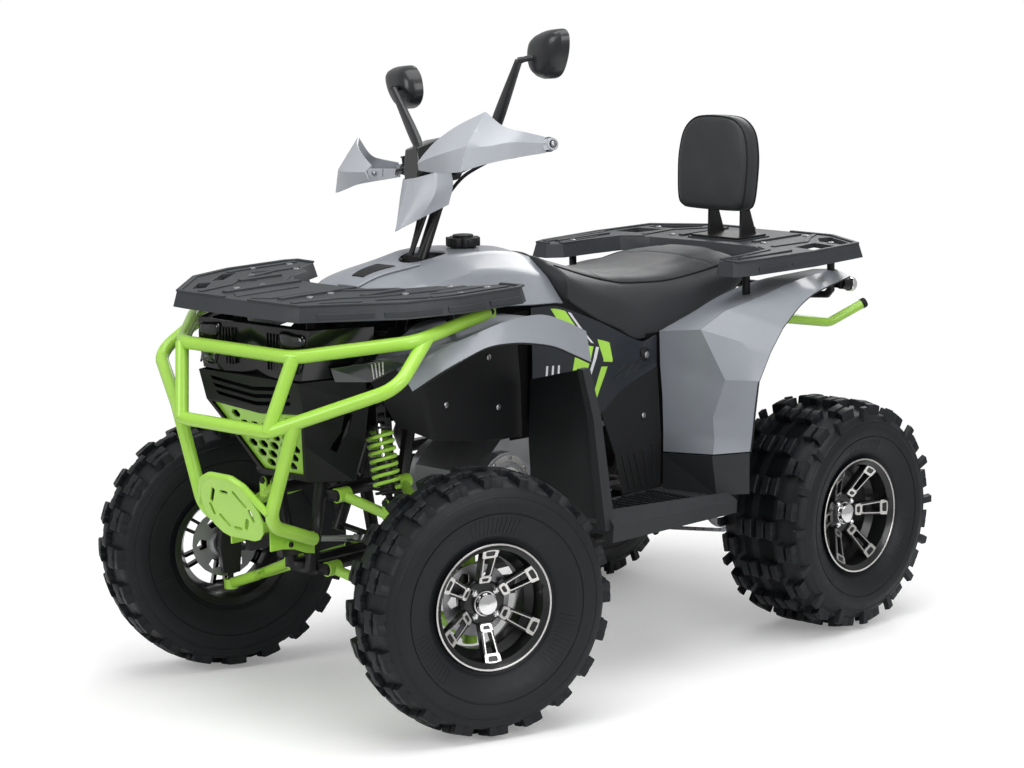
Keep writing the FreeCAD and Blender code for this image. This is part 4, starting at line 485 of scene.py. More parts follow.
def sheet_part(g, thickness):
    """A sheet with its face on the grid and its back behind it."""
    n = normals_of(g)
    nr, nc = g.shape[:2]
    back = g - n * thickness
    verts = np.concatenate([g.reshape(-1, 3), back.reshape(-1, 3)])
    off = nr * nc

    def vid(i, j):
        return i * nc + j

    faces = []
    for i in range(nr - 1):
        for j in range(nc - 1):
            q = (vid(i, j), vid(i + 1, j), vid(i + 1, j + 1), vid(i, j + 1))
            faces.append(q)
            faces.append(tuple(off + x for x in reversed(q)))
    edge = [vid(0, j) for j in range(nc - 1)] + [vid(i, nc - 1) for i in range(nr - 1)]
    edge += [vid(nr - 1, j) for j in range(nc - 1, 0, -1)] + [vid(i, 0) for i in range(nr - 1, 0, -1)]
    for a, b in zip(edge, edge[1:] + edge[:1]):
        faces.append((a, b, off + b, off + a))
    return verts, faces


def full_width(half_rows):
    return [[(x, -y, z) for x, y, z in reversed(row[1:])] + list(row) for row in half_rows]


def bevelled(o, width_mm, segments=2, angle=28.0):
    mod = o.modifiers.new("edge", "BEVEL")
    mod.width = width_mm * 0.001
    mod.segments = segments
    mod.limit_method = "ANGLE"
    mod.angle_limit = math.radians(angle)
    mod.harden_normals = False
    mod.use_clamp_overlap = True
    return o


def refined(node, mat, angle, bevel=0.0, body="chassis"):
    """A welded copy of a CAD node with smooth shading over its flat-sided curves and softened edges."""
    name = node + "_finish"
    bm = bmesh.new()
    bm.from_mesh(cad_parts[node].data)
    bmesh.ops.remove_doubles(bm, verts=bm.verts, dist=2e-5)
    bmesh.ops.dissolve_limit(bm, angle_limit=math.radians(0.6), verts=bm.verts, edges=bm.edges)
    me = bpy.data.meshes.new(name)
    bm.to_mesh(me)
    bm.free()
    me.materials.clear()
    me.materials.append(M[mat])
    for p in me.polygons:
        p.material_index = 0
    o = bpy.data.objects.new(name, me)
    bpy.context.scene.collection.objects.link(o)
    smooth_by(o, angle)
    if bevel:
        bevelled(o, bevel, 2, angle)
    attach(o, body)
    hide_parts(node)
    return o


def bolt(centre, normal, radius=6.0, height=4.0):
    """A button-head screw with a hexagonal socket."""
    c, sides = arr(centre), 18
    d, side, up = frame_of(normal)
    rings = [circle(c + d * h, side, up, r, sides)
             for h, r in ((0.0, radius), (height * 0.55, radius), (height, radius * 0.62))]
    for h in (height, height * 0.35):
        ring = []
        for m in range(sides):
            a = 2 * math.pi * m / sides
            reach = math.cos(math.pi / 6) / math.cos((a % (math.pi / 3)) - math.pi / 6)
            ring.append(c + d * h + (side * math.cos(a) + up * math.sin(a)) * radius * 0.42 * reach)
        rings.append(ring)
    return lofted(rings)


def paired(places):
    """Each (place, direction) on both sides of the quad."""
    return [((x, s * y, z), (u, s * v, w)) for (x, y, z), (u, v, w) in places for s in (1, -1)]


def bolts(name, places, mat="steel", radius=6.0, height=4.0):
    return add_part(name, joined([bolt(c, n, radius, height) for c, n in places]), mat, 35)


# Tyres

def lug_part(outline, base_r, top_r):
    """A tread block: its outline is (along the tread, across), its heights follow the place across."""
    cx = sum(p[0] for p in outline) / len(outline)
    cw = sum(p[1] for p in outline) / len(outline)
    rings = []
    for level, scale in enumerate((1.0, 0.94, 0.80)):
        ring = []
        for s, w in outline:
            across = cw + (w - cw) * scale
            height = (base_r(across), top_r(across) - 1.6, top_r(across))[level]
            ring.append((cx + (s - cx) * scale, across, height))
        rings.append(ring)
    return lofted(rings)


def wrapped(part, nominal_r, angle):
    """From (along, across, radius) to the wheel's frame, turned by the angle."""
    v, f = part
    a = v[:, 0] / nominal_r + angle
    out = np.stack([v[:, 2] * np.cos(a), v[:, 1], v[:, 2] * np.sin(a)], axis=1)
    return out, f


def profile_at(points, offset):
    return float(np.interp(abs(offset), [p[0] for p in points], [p[1] for p in points]))


def smooth_profile(points, per=6):
    s = Skin([points, points])
    n = len(points)
    return [tuple(s.at(0, v)) for v in np.linspace(0, n - 1, (n - 1) * per + 1)]


def ribbed(profile, rings):
    """A side wall's profile with raised or sunk rings, each given by its radius, half width and height."""
    walls, radii = [w for w, _ in profile], [r for _, r in profile]
    result = [p for p in profile if all(abs(p[1] - centre) > wide + 0.8 for centre, wide, _ in rings)]
    for centre, wide, high in rings:
        for step, share in ((-wide - 0.8, 0), (-wide, 1), (wide, 1), (wide + 0.8, 0)):
            result.append((float(np.interp(centre + step, radii, walls)) + share * high, centre + step))
    return sorted(result, key=lambda p: p[1])


def side_ribs(profile, low, high, turns):
    """Short radial ribs on both side walls, in arcs of twelve."""
    walls, radii = [w for w, _ in profile], [r for _, r in profile]
    section = ((-1.3, -1.0), (-0.7, 0.9), (0.7, 0.9), (1.3, -1.0))
    parts = []
    for turn in turns:
        for k in range(12):
            a = math.radians(turn + 3.2 * (k - 5.5))
            along, across = arr((math.cos(a), 0, math.sin(a))), arr((-math.sin(a), 0, math.cos(a)))
            for side in (1, -1):
                rings = []
                for r in np.linspace(low, high, 4):
                    wall = float(np.interp(r, radii, walls))
                    rings.append([r * along + across * w + (0, side * (wall + rise), 0) for w,
                                  rise in section])
                v, f = lofted(rings)
                parts.append((v, flipped(f) if side > 0 else f))
    return parts


def tyre_part(radius, width, rim_half, lug_height, flat_half, blocks):
    half = width / 2
    bead = rim_half - 11.0
    crown = radius - lug_height
    shoulder_w, shoulder = half * 0.88, crown - 14.0
    outer = smooth_profile([
        (bead, RIM_SEAT_R + 0.3, 0), (bead + 2, RIM_FLANGE_R + 3.0, 0), (half * 0.93, radius - 106.0, 0),
        (half, radius - 70.0, 0), (half * 0.975, crown - 34.0, 0), (shoulder_w, shoulder, 0),
        ((shoulder_w + flat_half) / 2, crown - 6.0, 0), (flat_half, crown, 0), (0, crown + 0.6, 0),
    ])
    outer = [(w, r) for w, r, _ in outer]
    outer = ribbed(outer, [(RIM_FLANGE_R + 12.0, 2.2, 1.2), (radius - 84.0, 1.1, -1.8),
                           (radius - 48.0, 1.5, 1.2)])
    inner = [(half * 0.66, crown - 18.0), (bead - 11.0, RIM_SEAT_R + 0.3)]
    right_outer = [(-w, r) for w, r in reversed(outer[:-1])]
    right_inner = [(-w, r) for w, r in reversed(inner)]
    parts = [revolve_part(outer + right_outer + right_inner + inner, 96)]
    parts += side_ribs(outer, RIM_FLANGE_R + 22.0, radius - 92.0, (90, 210, 330))
    table = [(abs(w), r) for w, r in reversed(outer) if r > radius - 80]

    def base(w):
        return profile_at(table, w) - 3.0

    def top(w):
        a = abs(w)
        if a <= flat_half:
            return radius - 0.4
        return radius - 10.0 * (a - flat_half) / (shoulder_w - flat_half) - 0.4

    for outline, count, phase in blocks:
        pitch = 2 * math.pi / count
        part = lug_part(outline, base, top)
        for k in range(count):
            parts.append(wrapped(part, radius, pitch * (k + phase) - math.pi / 2))
    return joined(parts)


def grooved(outline_len, near, far, cut):
    """Two halves of a rectangular block with a groove along the tread between them and notched ends."""
    middle = (near + far) / 2
    half = outline_len / 2
    parts = []
    for a, b in ((near, middle - cut / 2), (middle + cut / 2, far)):
        parts.append([(-half, a), (-half * 0.16, a), (0, a + 1.6), (half * 0.16, a), (half, a),
                      (half, b), (half * 0.16, b), (0, b - 1.6), (-half * 0.16, b), (-half, b)])
    return parts


def bone(length, near, far, waist):
    """A block with wide ends and a narrower waist."""
    half = length / 2
    return [(-half, near), (-half * 0.36, near), (-half * 0.2, near + waist), (half * 0.2, near + waist),
            (half * 0.36, near), (half, near), (half, far), (half * 0.36, far), (half * 0.2, far - waist),
            (-half * 0.2, far - waist), (-half * 0.36, far), (-half, far)]


def front_blocks():
    rows = [(bone(58, -16, 16, 5.5), FRONT_PITCHES, 0.5)]
    for outline in (bone(54, 28, 56, 4.5), bone(50, 61, 80, 2.5)):
        rows.append((outline, FRONT_PITCHES, 0.0))
        rows.append(([(s, -w) for s, w in reversed(outline)], FRONT_PITCHES, 0.0))
    return rows


def rear_blocks():
    rows = []
    for near, far, phase in ((8, 56, 0.0), (65, 108, 0.5)):
        for outline in grooved(50, near, far, 5.0):
            wing = [(s * (1.0 - 0.22 * (1 - abs(2 * (w - near) / (far - near) - 1))), w) for s, w in outline]
            rows.append((wing, REAR_PITCHES, phase))
            rows.append(([(s, -w) for s, w in reversed(wing)], REAR_PITCHES, phase))
    stub = [(-13, 111), (13, 111), (9, 123), (-9, 123)]
    rows.append((stub, REAR_PITCHES, 0.0))
    rows.append(([(s, -w) for s, w in reversed(stub)], REAR_PITCHES, 0.0))
    return rows


def wheel_set(front, rear, names, mat, sharp, nodes=(None, None)):
    """The same piece on each front wheel, and one piece for the pair of rear wheels."""
    made = []
    for side in ("left", "right"):
        wheel = "front_" + side
        node = nodes[0] + side if nodes[0] else None
        made.append(add_part("%s_%s" % (wheel, names[0]), on_wheel(front, wheel), mat, sharp,
                             "wheel_" + wheel, node))
    pair = joined([on_wheel(rear, "rear_left"), on_wheel(rear, "rear_right")])
    made.append(add_part("rear_" + names[1], pair, mat, sharp, "rear_wheels", nodes[1]))
    return made


def tyres():
    front = tyre_part(FRONT_TYRE_R, FRONT_TYRE_W, FRONT_RIM_HALF, FRONT_LUG_H, 25.0, front_blocks())
    rear = tyre_part(REAR_TYRE_R, REAR_TYRE_W, REAR_RIM_HALF, REAR_LUG_H, 62.0, rear_blocks())
    wheel_set(front, rear, ("tyre_tread", "tyre_treads"), "tyre", 38, ("front_tyre_", "rear_tyres"))


# Rims

def loop_part(x0, x1, h0, h1, y0, y1, corner, depth, hole=None):
    """A rounded plate from the hub to the flange, its face leaning outwards, with a rounded slot in it."""
    def ring(a, b, ha, hb, c):
        pts = []
        for cx, cz, start in ((b - c, hb - c, 0), (a + c, ha - c, 90), (a + c, -ha + c, 180),
                              (b - c, -hb + c, 270)):
            for k in range(4):
                angle = math.radians(start + 30 * k)
                pts.append((cx + c * math.cos(angle), cz + c * math.sin(angle)))
        return pts

    def face_y(x):
        return y0 + (y1 - y0) * (x - x0) / (x1 - x0)

    outer = ring(x0, x1, h0, h1, corner)
    n = len(outer)
    inner = ring(*hole) if hole else [(x0 + (x1 - x0) / 2, 0)] * n
    verts = []
    for pts, drop in ((outer, 0), (inner, 0), (inner, depth), (outer, depth)):
        verts.extend((x, face_y(x) - drop, z) for x, z in pts)
    faces = []
    for a, b in ((0, 1), (1, 2), (2, 3), (3, 0)):
        for m in range(n):
            q = (m + 1) % n
            faces.append((a * n + m, a * n + q, b * n + q, b * n + m))
    return np.array(verts), flipped(faces)


def spun(part, angle):
    v, f = part
    return turn_about(v, np.zeros(3), (0, 1, 0), angle), f


def rim_parts(half, hub_face, first_angle):
    well = half - 40.0
    flange, bead, drop = RIM_FLANGE_R, RIM_SEAT_R, RIM_WELL_R
    profile = [
        (-half, flange), (-half + 3, flange - 1), (-half + 9, bead), (-well, bead), (-well + 10, drop),
        (well - 26, drop), (well - 12, bead), (half - 9, bead), (half - 3, flange - 1), (half, flange),
        (half, flange - 4), (half - 4, flange - 8), (half - 10, bead - 5), (well - 11, bead - 5),
        (well - 24, drop - 5), (-well + 8, drop - 5), (-half + 6, bead - 5),
    ]
    black = [revolve_part(profile, 96)]
    silver = []
    plate = [(hub_face - 14, 20), (hub_face - 14, 50), (hub_face - 3, 50), (hub_face, 46), (hub_face, 20)]
    black.append(revolve_part(plate, 60))
    reach, high = RIM_SEAT_R - 2, half - 10
    slope = (high - hub_face - 3) / (reach - 42)

    def at(x):
        return hub_face + 3 + slope * (x - 42)

    for k in range(6):
        a = math.pi / 3 * k + first_angle
        black.append(spun(loop_part(42, reach, 15, 19, at(42), at(reach), 5, 19, (58, 110, 8, 11, 4)), a))
        silver.append(spun(loop_part(60, 108, 11.6, 14.6, at(60) + 1.2, at(108) + 1.2, 4, 1.6,
                                     (62, 106, 9.2, 12.2, 3)), a))
        silver.append(spun(loop_part(105, 125, 18.2, 19.2, at(105) + 1.6, at(125) + 1.6, 4, 3.2,
                                     (110, 121, 10.5, 11.5, 3)), a))
        silver.append(spun(loop_part(45, 60, 13.6, 14.4, at(45) + 1.6, at(60) + 1.6, 4, 3.2,
                                     (48.5, 56.5, 7.5, 8.5, 3)), a))
    silver.append(revolve_part([(half - 0.2, RIM_FLANGE_R - 5), (half - 0.2, RIM_FLANGE_R - 0.6),
                                (half + 0.4, RIM_FLANGE_R - 1.2), (half + 0.4, RIM_FLANGE_R - 4.4)], 96))
    chrome = [revolve_part([(hub_face - 4, 0.5), (hub_face - 4, 26), (hub_face + 15, 25),
                            (hub_face + 19, 22), (hub_face + 21.4, 12), (hub_face + 22, 0.5)], 40)]
    chrome.append(revolve_part([(hub_face + 5, 25.2), (hub_face + 5, 27.4), (hub_face + 8, 27.4),
                                (hub_face + 8, 25.2)], 40))
    for k in range(4):
        a = math.pi / 2 * k + math.pi / 4
        x, z = 36 * math.cos(a), 36 * math.sin(a)
        chrome.append(sweep([(x, hub_face - 2, z), (x, hub_face + 9, z)], 7.5, 6))
        chrome.append(sweep([(x, hub_face + 9, z), (x, hub_face + 12, z), (x, hub_face + 14, z)],
                            [6.4, 5.6, 3.0], 18))
    valve = [sweep([(-117, half - 14, 20), (-112, half - 2, 21)], 3.2, 12),
             sweep([(-112, half - 3, 21), (-110.5, half + 3, 21.3)], 4.2, 12)]
    return joined(black), joined(silver), joined(chrome), joined(valve)


def rims():
    front = rim_parts(FRONT_RIM_HALF, FRONT_HUB_FACE, math.pi / 6)
    rear = rim_parts(REAR_RIM_HALF, REAR_HUB_FACE, 0.0)
    finishes = (("rim", "rim_black", "rim_black"), ("rim_edges", "machined", "alloy"),
                ("hub_cap", "chrome", "steel"), ("valve", "rubber", "rubber"))
    for ahead, behind, (name, mat, slot) in zip(front, rear, finishes):
        nodes = ("front_rim_", "rear_rims") if name == "rim" else (None, None)
        made = wheel_set(ahead, behind, (name, name), mat, 36, nodes)
        if name == "rim":
            for o in made:
                bevelled(o, 0.9, 2, 40)


# Bumper


def y_turned(v, degrees, offset):
    return turn_about(v, np.zeros(3), (0, 1, 0), math.radians(degrees)) + arr(offset)


def slot_outline(y, z, length, width, lean):
    pts = []
    r = width / 2
    for end in (1, -1):
        for k in range(7):
            a = math.pi * k / 6 + (0 if end > 0 else math.pi)
            pts.append((r * math.cos(a), end * (length / 2 - r) + r * math.sin(a)))
    c, s = math.cos(math.radians(lean)), math.sin(math.radians(lean))
    return [(y + p * c - q * s, z + p * s + q * c) for p, q in pts]


def holed_plate(outline, holes, thickness):
    """A flat plate in the YZ plane with holes, its face at x = thickness."""
    points, edges = [], []
    for loop in [outline] + holes:
        start = len(points)
        points.extend(Vector(p) for p in loop)
        edges.extend((start + k, start + (k + 1) % len(loop)) for k in range(len(loop)))
    verts2, _, tris, _, _, _ = delaunay_2d_cdt(points, edges, [], 0, 1e-6)

    def inside(p, loop):
        hit = False
        for (x0, y0), (x1, y1) in zip(loop, loop[1:] + loop[:1]):
            if (y0 > p[1]) != (y1 > p[1]) and p[0] < (x1 - x0) * (p[1] - y0) / (y1 - y0) + x0:
                hit = not hit
        return hit

    keep = []
    for t in tris:
        c = sum((verts2[i] for i in t), Vector((0, 0))) / len(t)
        if inside(c, outline) and not any(inside(c, h) for h in holes):
            keep.append(tuple(t))
    n = len(verts2)
    v = [(x, p[0], p[1]) for x in (thickness, 0) for p in verts2]
    faces = keep + [tuple(n + i for i in reversed(t)) for t in keep]
    used = {(a, b): True for t in keep for a, b in zip(t, t[1:] + t[:1])}
    for a, b in used:
        if (b, a) not in used:
            faces.append((b, a, n + a, n + b))
    return arr(v), faces


def bumper():
    left_top = [HOOP_TOP_END, HOOP_TOP_CORNER, HOOP_TOP_BEND]
    left_mid = [HOOP_MID_END, HOOP_MID_CORNER, HOOP_MID_BEND]
    parts = []
    for left in (left_top, left_mid):
        right = [(x, -y, z) for x, y, z in reversed(left)]
        parts.append(sweep(rounded_path(left + right, 66, 10), BUMPER_R, 24))
    side = [sweep([HOOP_MID_BEND, HOOP_TOP_BEND], BUMPER_R, 24),
            sweep(rounded_path([LEG_TOP, LEG_KNEE, LEG_END], 66, 10), BUMPER_R, 24)]
    foot = [(888, 440), (760, 416), (760, 366), (786, 372), (820, 386), (856, 392), (888, 392)]
    side.append(extruded([(x, PLATE_Y, z) for x, z in foot], (0, 5, 0)))
    for x in (785, 835):
        side.append(bolt((x, PLATE_Y + 5, 400), (0, 1, 0), 8.5, 5))
    end = HOOP_TOP_END
    side.append(box_part(end[0] - 36, end[0] + 14, end[1] - 14, end[1] - 6, end[2] - 13, end[2] + 13))
    parts += [both(piece) for piece in side]
    outline = [(-94, 5), (-86, 26), (-66, 62), (-48, 74), (-34, 78), (34, 78), (48, 74), (66, 62), (86, 26),
               (94, 5), (91, -26), (80, -52), (60, -71), (40, -78), (-40, -78), (-60, -71), (-80, -52),
               (-91, -26)]
    outline = [tuple(map(float, p)) for p in reversed(outline)]
    slots = [(-44, 32, 48, -34), (44, 32, 48, 34), (0, 45, 26, 90), (0, -50, 26, 90), (-64, -8, 34, 0),
             (64, -8, 34, 0), (-36, -34, 38, 34), (36, -34, 38, -34)]
    holes = [slot_outline(y, z, length, 9.0, lean) for y, z, length, lean in slots]
    rim = [(-4, -112, 0), (-2, -66, 64), (-2, -34, 80), (-2, 34, 80), (-2, 66, 64), (-4, 112, 0)]
    for v, f in (holed_plate(outline, holes, 5.0), sweep(rounded_path(rim, 26, 6), 8.5, 20)):
        parts.append((y_turned(v, 24.0, (938, 0, 489)), f))
    bevelled(add_part("bumper_tubes", joined(parts), "lime", node="front_bumper"), 0.8, 2, 50)
    heads = [(785, PLATE_Y + 10, 400), (835, PLATE_Y + 10, 400), (end[0] - 22, end[1] - 6, end[2])]
    bolts("bumper_bolts", paired([(head, (0, 1, 0)) for head in heads]), "black_metal", 6.5, 4)


# Racks and the tail's bar

def band(points, width, z0, z1):
    """A flat bar of even width along a line seen from above, with mitred corners."""
    p = arr(points)
    last = len(p) - 1
    rings = []
    for k in range(last + 1):
        before = p[k] - p[k - 1] if k else p[1] - p[0]
        after = p[k + 1] - p[k] if k < last else p[-1] - p[-2]
        a, b = before / np.linalg.norm(before), after / np.linalg.norm(after)
        na, nb = arr((-a[1], a[0])), arr((-b[1], b[0]))
        mitre = (na + nb) / np.linalg.norm(na + nb)
        reach = width / 2 / max(mitre @ na, 0.35)
        left, right = p[k] + mitre * reach, p[k] - mitre * reach
        rings.append([(*left, z0), (*left, z1), (*right, z1), (*right, z0)])
    v, f = lofted(rings)
    return v, flipped(f)


def rack_relief(name, top, skirt_z, borders, ribs, plates, skirts):
    parts = [both(band(line, 11, top - 1, top + 4.0)) for line in borders]
    parts += [both(band(line, 13, top - 1, top + 3.2)) for line in ribs]
    parts += [both(extruded([(x, y, top - 1) for x, y in plate], (0, 0, 3.4))) for plate in plates]
    bevelled(add_part(name + "_relief", joined(parts), "rack", 30), 1.5, 3, 30)
    bars = joined([both(band(line, 7, skirt_z, skirt_z + 13)) for line in skirts])
    bevelled(add_part(name + "_skirt_bars", bars, "rack", 30), 1.3, 3, 30)


def racks():
    refined("front_rack", "rack", 30, 2.2)
    refined("rear_rack", "rack", 30, 2.2)
    rack_relief("front_rack", 945, 916,
                [[(402, 306), (396, 366), (425, 379), (598, 379), (733, 341), (900, 199), (905, 152),
                  (905, 40)]],
                [[(420, 345), (596, 342), (640, 332)],
                 [(478, 272), (560, 266), (700, 226), (770, 176), (880, 150)],
                 [(592, 182), (650, 130), (690, 90)]],
                [[(700, 22), (735, 62), (860, 62), (884, 22)],
                 [(468, 282), (560, 276), (606, 292), (560, 306), (452, 310)]],
                [[(430, 389), (520, 389)], [(536, 389), (598, 389), (636, 378)],
                 [(650, 374), (736, 349.5), (770, 321)], [(786, 307), (880, 227)]])
    rack_relief("rear_rack", 908, 879,
                [[(-386, 288), (-386, 326), (-424, 339), (-640, 354), (-832, 342), (-918, 196), (-922, 60)]],
                [[(-640, 190), (-604, 244), (-500, 258), (-404, 264)],
                 [(-410, 322), (-560, 334), (-650, 338)],
                 [(-660, 212), (-780, 222), (-850, 176), (-905, 150)]],
                [[(-420, 276), (-560, 286), (-600, 300), (-560, 304), (-424, 294)]],
                [[(-440, 350), (-540, 356)], [(-556, 357), (-640, 361), (-720, 356)],
                 [(-736, 355), (-828, 349.5)], [(-848, 338), (-920, 216)]])
    heads = [(800, 120, 945), (505, 250, 945), (461, 322, 945), (640, 250, 945), (730, 110, 945),
             (560, 340, 945), (-470, 285, 908), (-800, 285, 908), (-700, 150, 908), (-870, 150, 908)]
    bolts("rack_bolts", paired([(head, (0, 0, 1)) for head in heads]), "steel", 8, 4)
    wells = [(690, 190, 945), (600, 240, 945), (820, 90, 945), (-560, 330, 908), (-850, 100, 908)]
    parts = [both(sweep([(x, y, z - 1), (x, y, z + 0.5)], 9.5, 28)) for x, y, z in wells]
    add_part("rack_hole_plugs", joined(parts), "rubber")


def rear_bar():
    bend, tip, start = (-895.0, 205.0, 690.0), (-975.0, 248.0, 732.0), (-740.0, 158.0, 716.0)
    left = [sweep(rounded_path([start, bend, tip], 40), 11.8, 24), sweep([start, (-740, 143, 750)], 9.6, 24)]
    add_part("rear_bar_tubes",
             joined([both(joined(left)), sweep([(-880, -196, 692), (-880, 196, 692)], 11.8, 24)]), "lime",
             50, node="rear_bar")
    d = arr(tip) - arr(bend)
    d /= np.linalg.norm(d)
    a = arr(tip)
    cap = sweep([a - d * 2, a + d * 8, a + d * 11, a + d * 12], [13, 13, 11, 8], 24)
    add_part("rear_bar_caps", both(cap), "rubber")


# Suspension arms, dampers and springs

def arm_parts(pivot_y, pivot_z, ball_z, node_z):
    node = arr((FRONT_X, 300, node_z))
    ball = arr((FRONT_X, KINGPIN_Y, ball_z))
    lime, dark = [], []
    for x in (705.0, 520.0):
        pivot = arr((x, pivot_y, pivot_z))
        lime.append(sweep([pivot, node], 11.6, 24))
        lime.append(sweep([pivot - (18, 0, 0), pivot + (18, 0, 0)], 16.4, 28))
        dark.append(sweep([pivot - (19, 0, 0), pivot - (18, 0, 0), pivot + (18, 0, 0), pivot + (19, 0, 0)],
                          [12, 13.5, 13.5, 12], 24))
    lime.append(sweep([node, ball], 12.6, 24))
    lime.append(sweep([ball - (0, 0, 11), ball + (0, 0, 11)], 16.4, 28))
    gusset = [node + (60, -74, (pivot_z - node_z) * 0.36 + 3), node + (0, 8, 3),
              node + (-60, -74, (pivot_z - node_z) * 0.36 + 3)]
    lime.append(extruded(gusset, (0, 0, -6)))
    return lime, dark


def suspension():
    upper_z, lower_z = FRONT_TYRE_R + 80.0, FRONT_TYRE_R - 92.0
    lime, dark = arm_parts(100.0, 494.0, upper_z, upper_z + (494.0 - upper_z) * 0.32)
    more, more_dark = arm_parts(62.0, 322.0, lower_z, lower_z + (322.0 - lower_z) * 0.28)
    x, y, z = SHOCK_BOTTOM
    for side in (-1, 1):
        ear = [(y - 11, z - 38), (y + 11, z - 38), (y + 11, z), (y + 7, z + 6), (y, z + 8), (y - 7, z + 6),
               (y - 11, z)]
        x0 = x + (10.3 if side > 0 else -14.3)
        lime.append(extruded([(x0, a, b) for a, b in ear], (4, 0, 0)))
    dark.append(sweep([(x - 15, y, z), (x + 15, y, z)], 4.9, 16))
    for sx in (-1, 1):
        dark.append(sweep([(x + sx * 14.3, y, z), (x + sx * 18.5, y, z)], 8.2, 6))
    add_part("front_arms", both(joined(lime + more)), "lime", node="wishbones")
    add_part("front_arm_bushes", both(joined(dark + more_dark)), "black_metal")


def damper_parts(top, bottom, across, scale):
    top, bottom, across = arr(top), arr(bottom), arr(across)
    length = np.linalg.norm(bottom - top)
    d = (bottom - top) / length

    def at(t):
        return top + d * t

    rod = [sweep([at(10), at(length * 0.55)], 6.6 * scale, 24)]
    body = [sweep([at(length * 0.45), at(length * 0.45 + 2), at(length - 19), at(length - 17)],
                  [14.4 * scale, 16.6 * scale, 16.6 * scale, 14 * scale], 32),
            sweep([at(length * 0.6), at(length - 6)], 7.8 * scale, 24)]
    for a, b in ((16, 22), (length - 26, length - 20)):
        r = 29.6 * scale
        body.append(sweep([at(a), at(a + 1.2), at(b - 1.2), at(b)], [r - 1.2, r, r, r - 1.2], 40))
    body.append(sweep([at(length - 34), at(length - 33), at(length - 27), at(length - 26)],
                      [18.5 * scale, 20 * scale, 20 * scale, 18.5 * scale], 12))
    for end in (top, bottom):
        body.append(sweep([end - across * 10, end + across * 10], 11.8, 28))
        rod.append(sweep([end - across * 10.2, end + across * 10.2], 8.0, 24))
    return rod, body


def helix(top, bottom, radius, wire, turns, gap_top=22.0, gap_bottom=26.0):
    top, bottom = arr(top), arr(bottom)
    d = (bottom - top) / np.linalg.norm(bottom - top)
    start, end = top + d * (gap_top + wire + 0.3), bottom - d * (gap_bottom + wire + 0.3)
    side = np.cross(d, (1.0, 0, 0))
    side /= np.linalg.norm(side)
    front = np.cross(d, side)
    steps = int(turns * 28)
    path = []
    for k in range(steps + 1):
        t = k / steps
        a = 2 * math.pi * turns * t
        path.append(start + (end - start) * t + (side * math.cos(a) + front * math.sin(a)) * radius)
    return sweep(path, wire * 0.97, 14)


def dampers():
    rod, body = damper_parts(SHOCK_TOP, SHOCK_BOTTOM, (1, 0, 0), 1.0)
    add_part("front_damper_bodies", both(joined(body)), "black_metal", node="front_dampers")
    add_part("front_damper_rods", both(joined(rod)), "chrome")
    add_part("front_coils", both(helix(SHOCK_TOP, SHOCK_BOTTOM, 27.5, 4.5, 7.5)), "lime", 60,
             node="front_springs")
    rod, body = damper_parts(REAR_SHOCK_TOP, REAR_SHOCK_BOTTOM, (0, 1, 0), 1.15)
    add_part("rear_damper_body", joined(body), "black_metal", node="rear_damper")
    add_part("rear_damper_rod", joined(rod), "chrome")
    add_part("rear_coil", helix(REAR_SHOCK_TOP, REAR_SHOCK_BOTTOM, 29.0, 4.6, 8.5), "lime", 60)


# Body panels: skins through the rows of the part's source, then the pieces

def skin_panel(name, node, skin, mat, per=6, two=True, extra=(), sharp=32):
    """A panel over the skin, on both sides of the quad or across it, in place of its node."""
    part = joined([sheet_part(skin.grid(per), PANEL_T)] + list(extra))
    return bevelled(add_part(name, both(part) if two else part, mat, sharp, node=node), 0.8, 2, 50)


def cut_round(o, places):
    """Round holes through a panel, one for each (start, end, radius)."""
    v, f = joined([sweep([a, b], r, 40) for a, b, r in places])
    me = bpy.data.meshes.new("cutter")
    me.from_pydata((arr(v) * 0.001).tolist(), [], [tuple(int(i) for i in q) for q in f])
    cutter = bpy.data.objects.new("cutter", me)
    bpy.context.scene.collection.objects.link(cutter)
    mod = o.modifiers.new("cut", "BOOLEAN")
    mod.object = cutter
    mod.operation = "DIFFERENCE"
    mod.solver = "EXACT"
    o.modifiers.move(len(o.modifiers) - 1, 0)
    others = [m for m in o.modifiers if m != mod]
    for m in others:
        m.show_viewport = False
    bpy.context.view_layer.update()
    baked = bpy.data.meshes.new_from_object(o.evaluated_get(bpy.context.evaluated_depsgraph_get()))
    for m in others:
        m.show_viewport = True
    o.modifiers.remove(mod)
    old = o.data
    o.data = baked
    bpy.data.meshes.remove(old)
    bpy.data.objects.remove(cutter)
    bpy.data.meshes.remove(me)


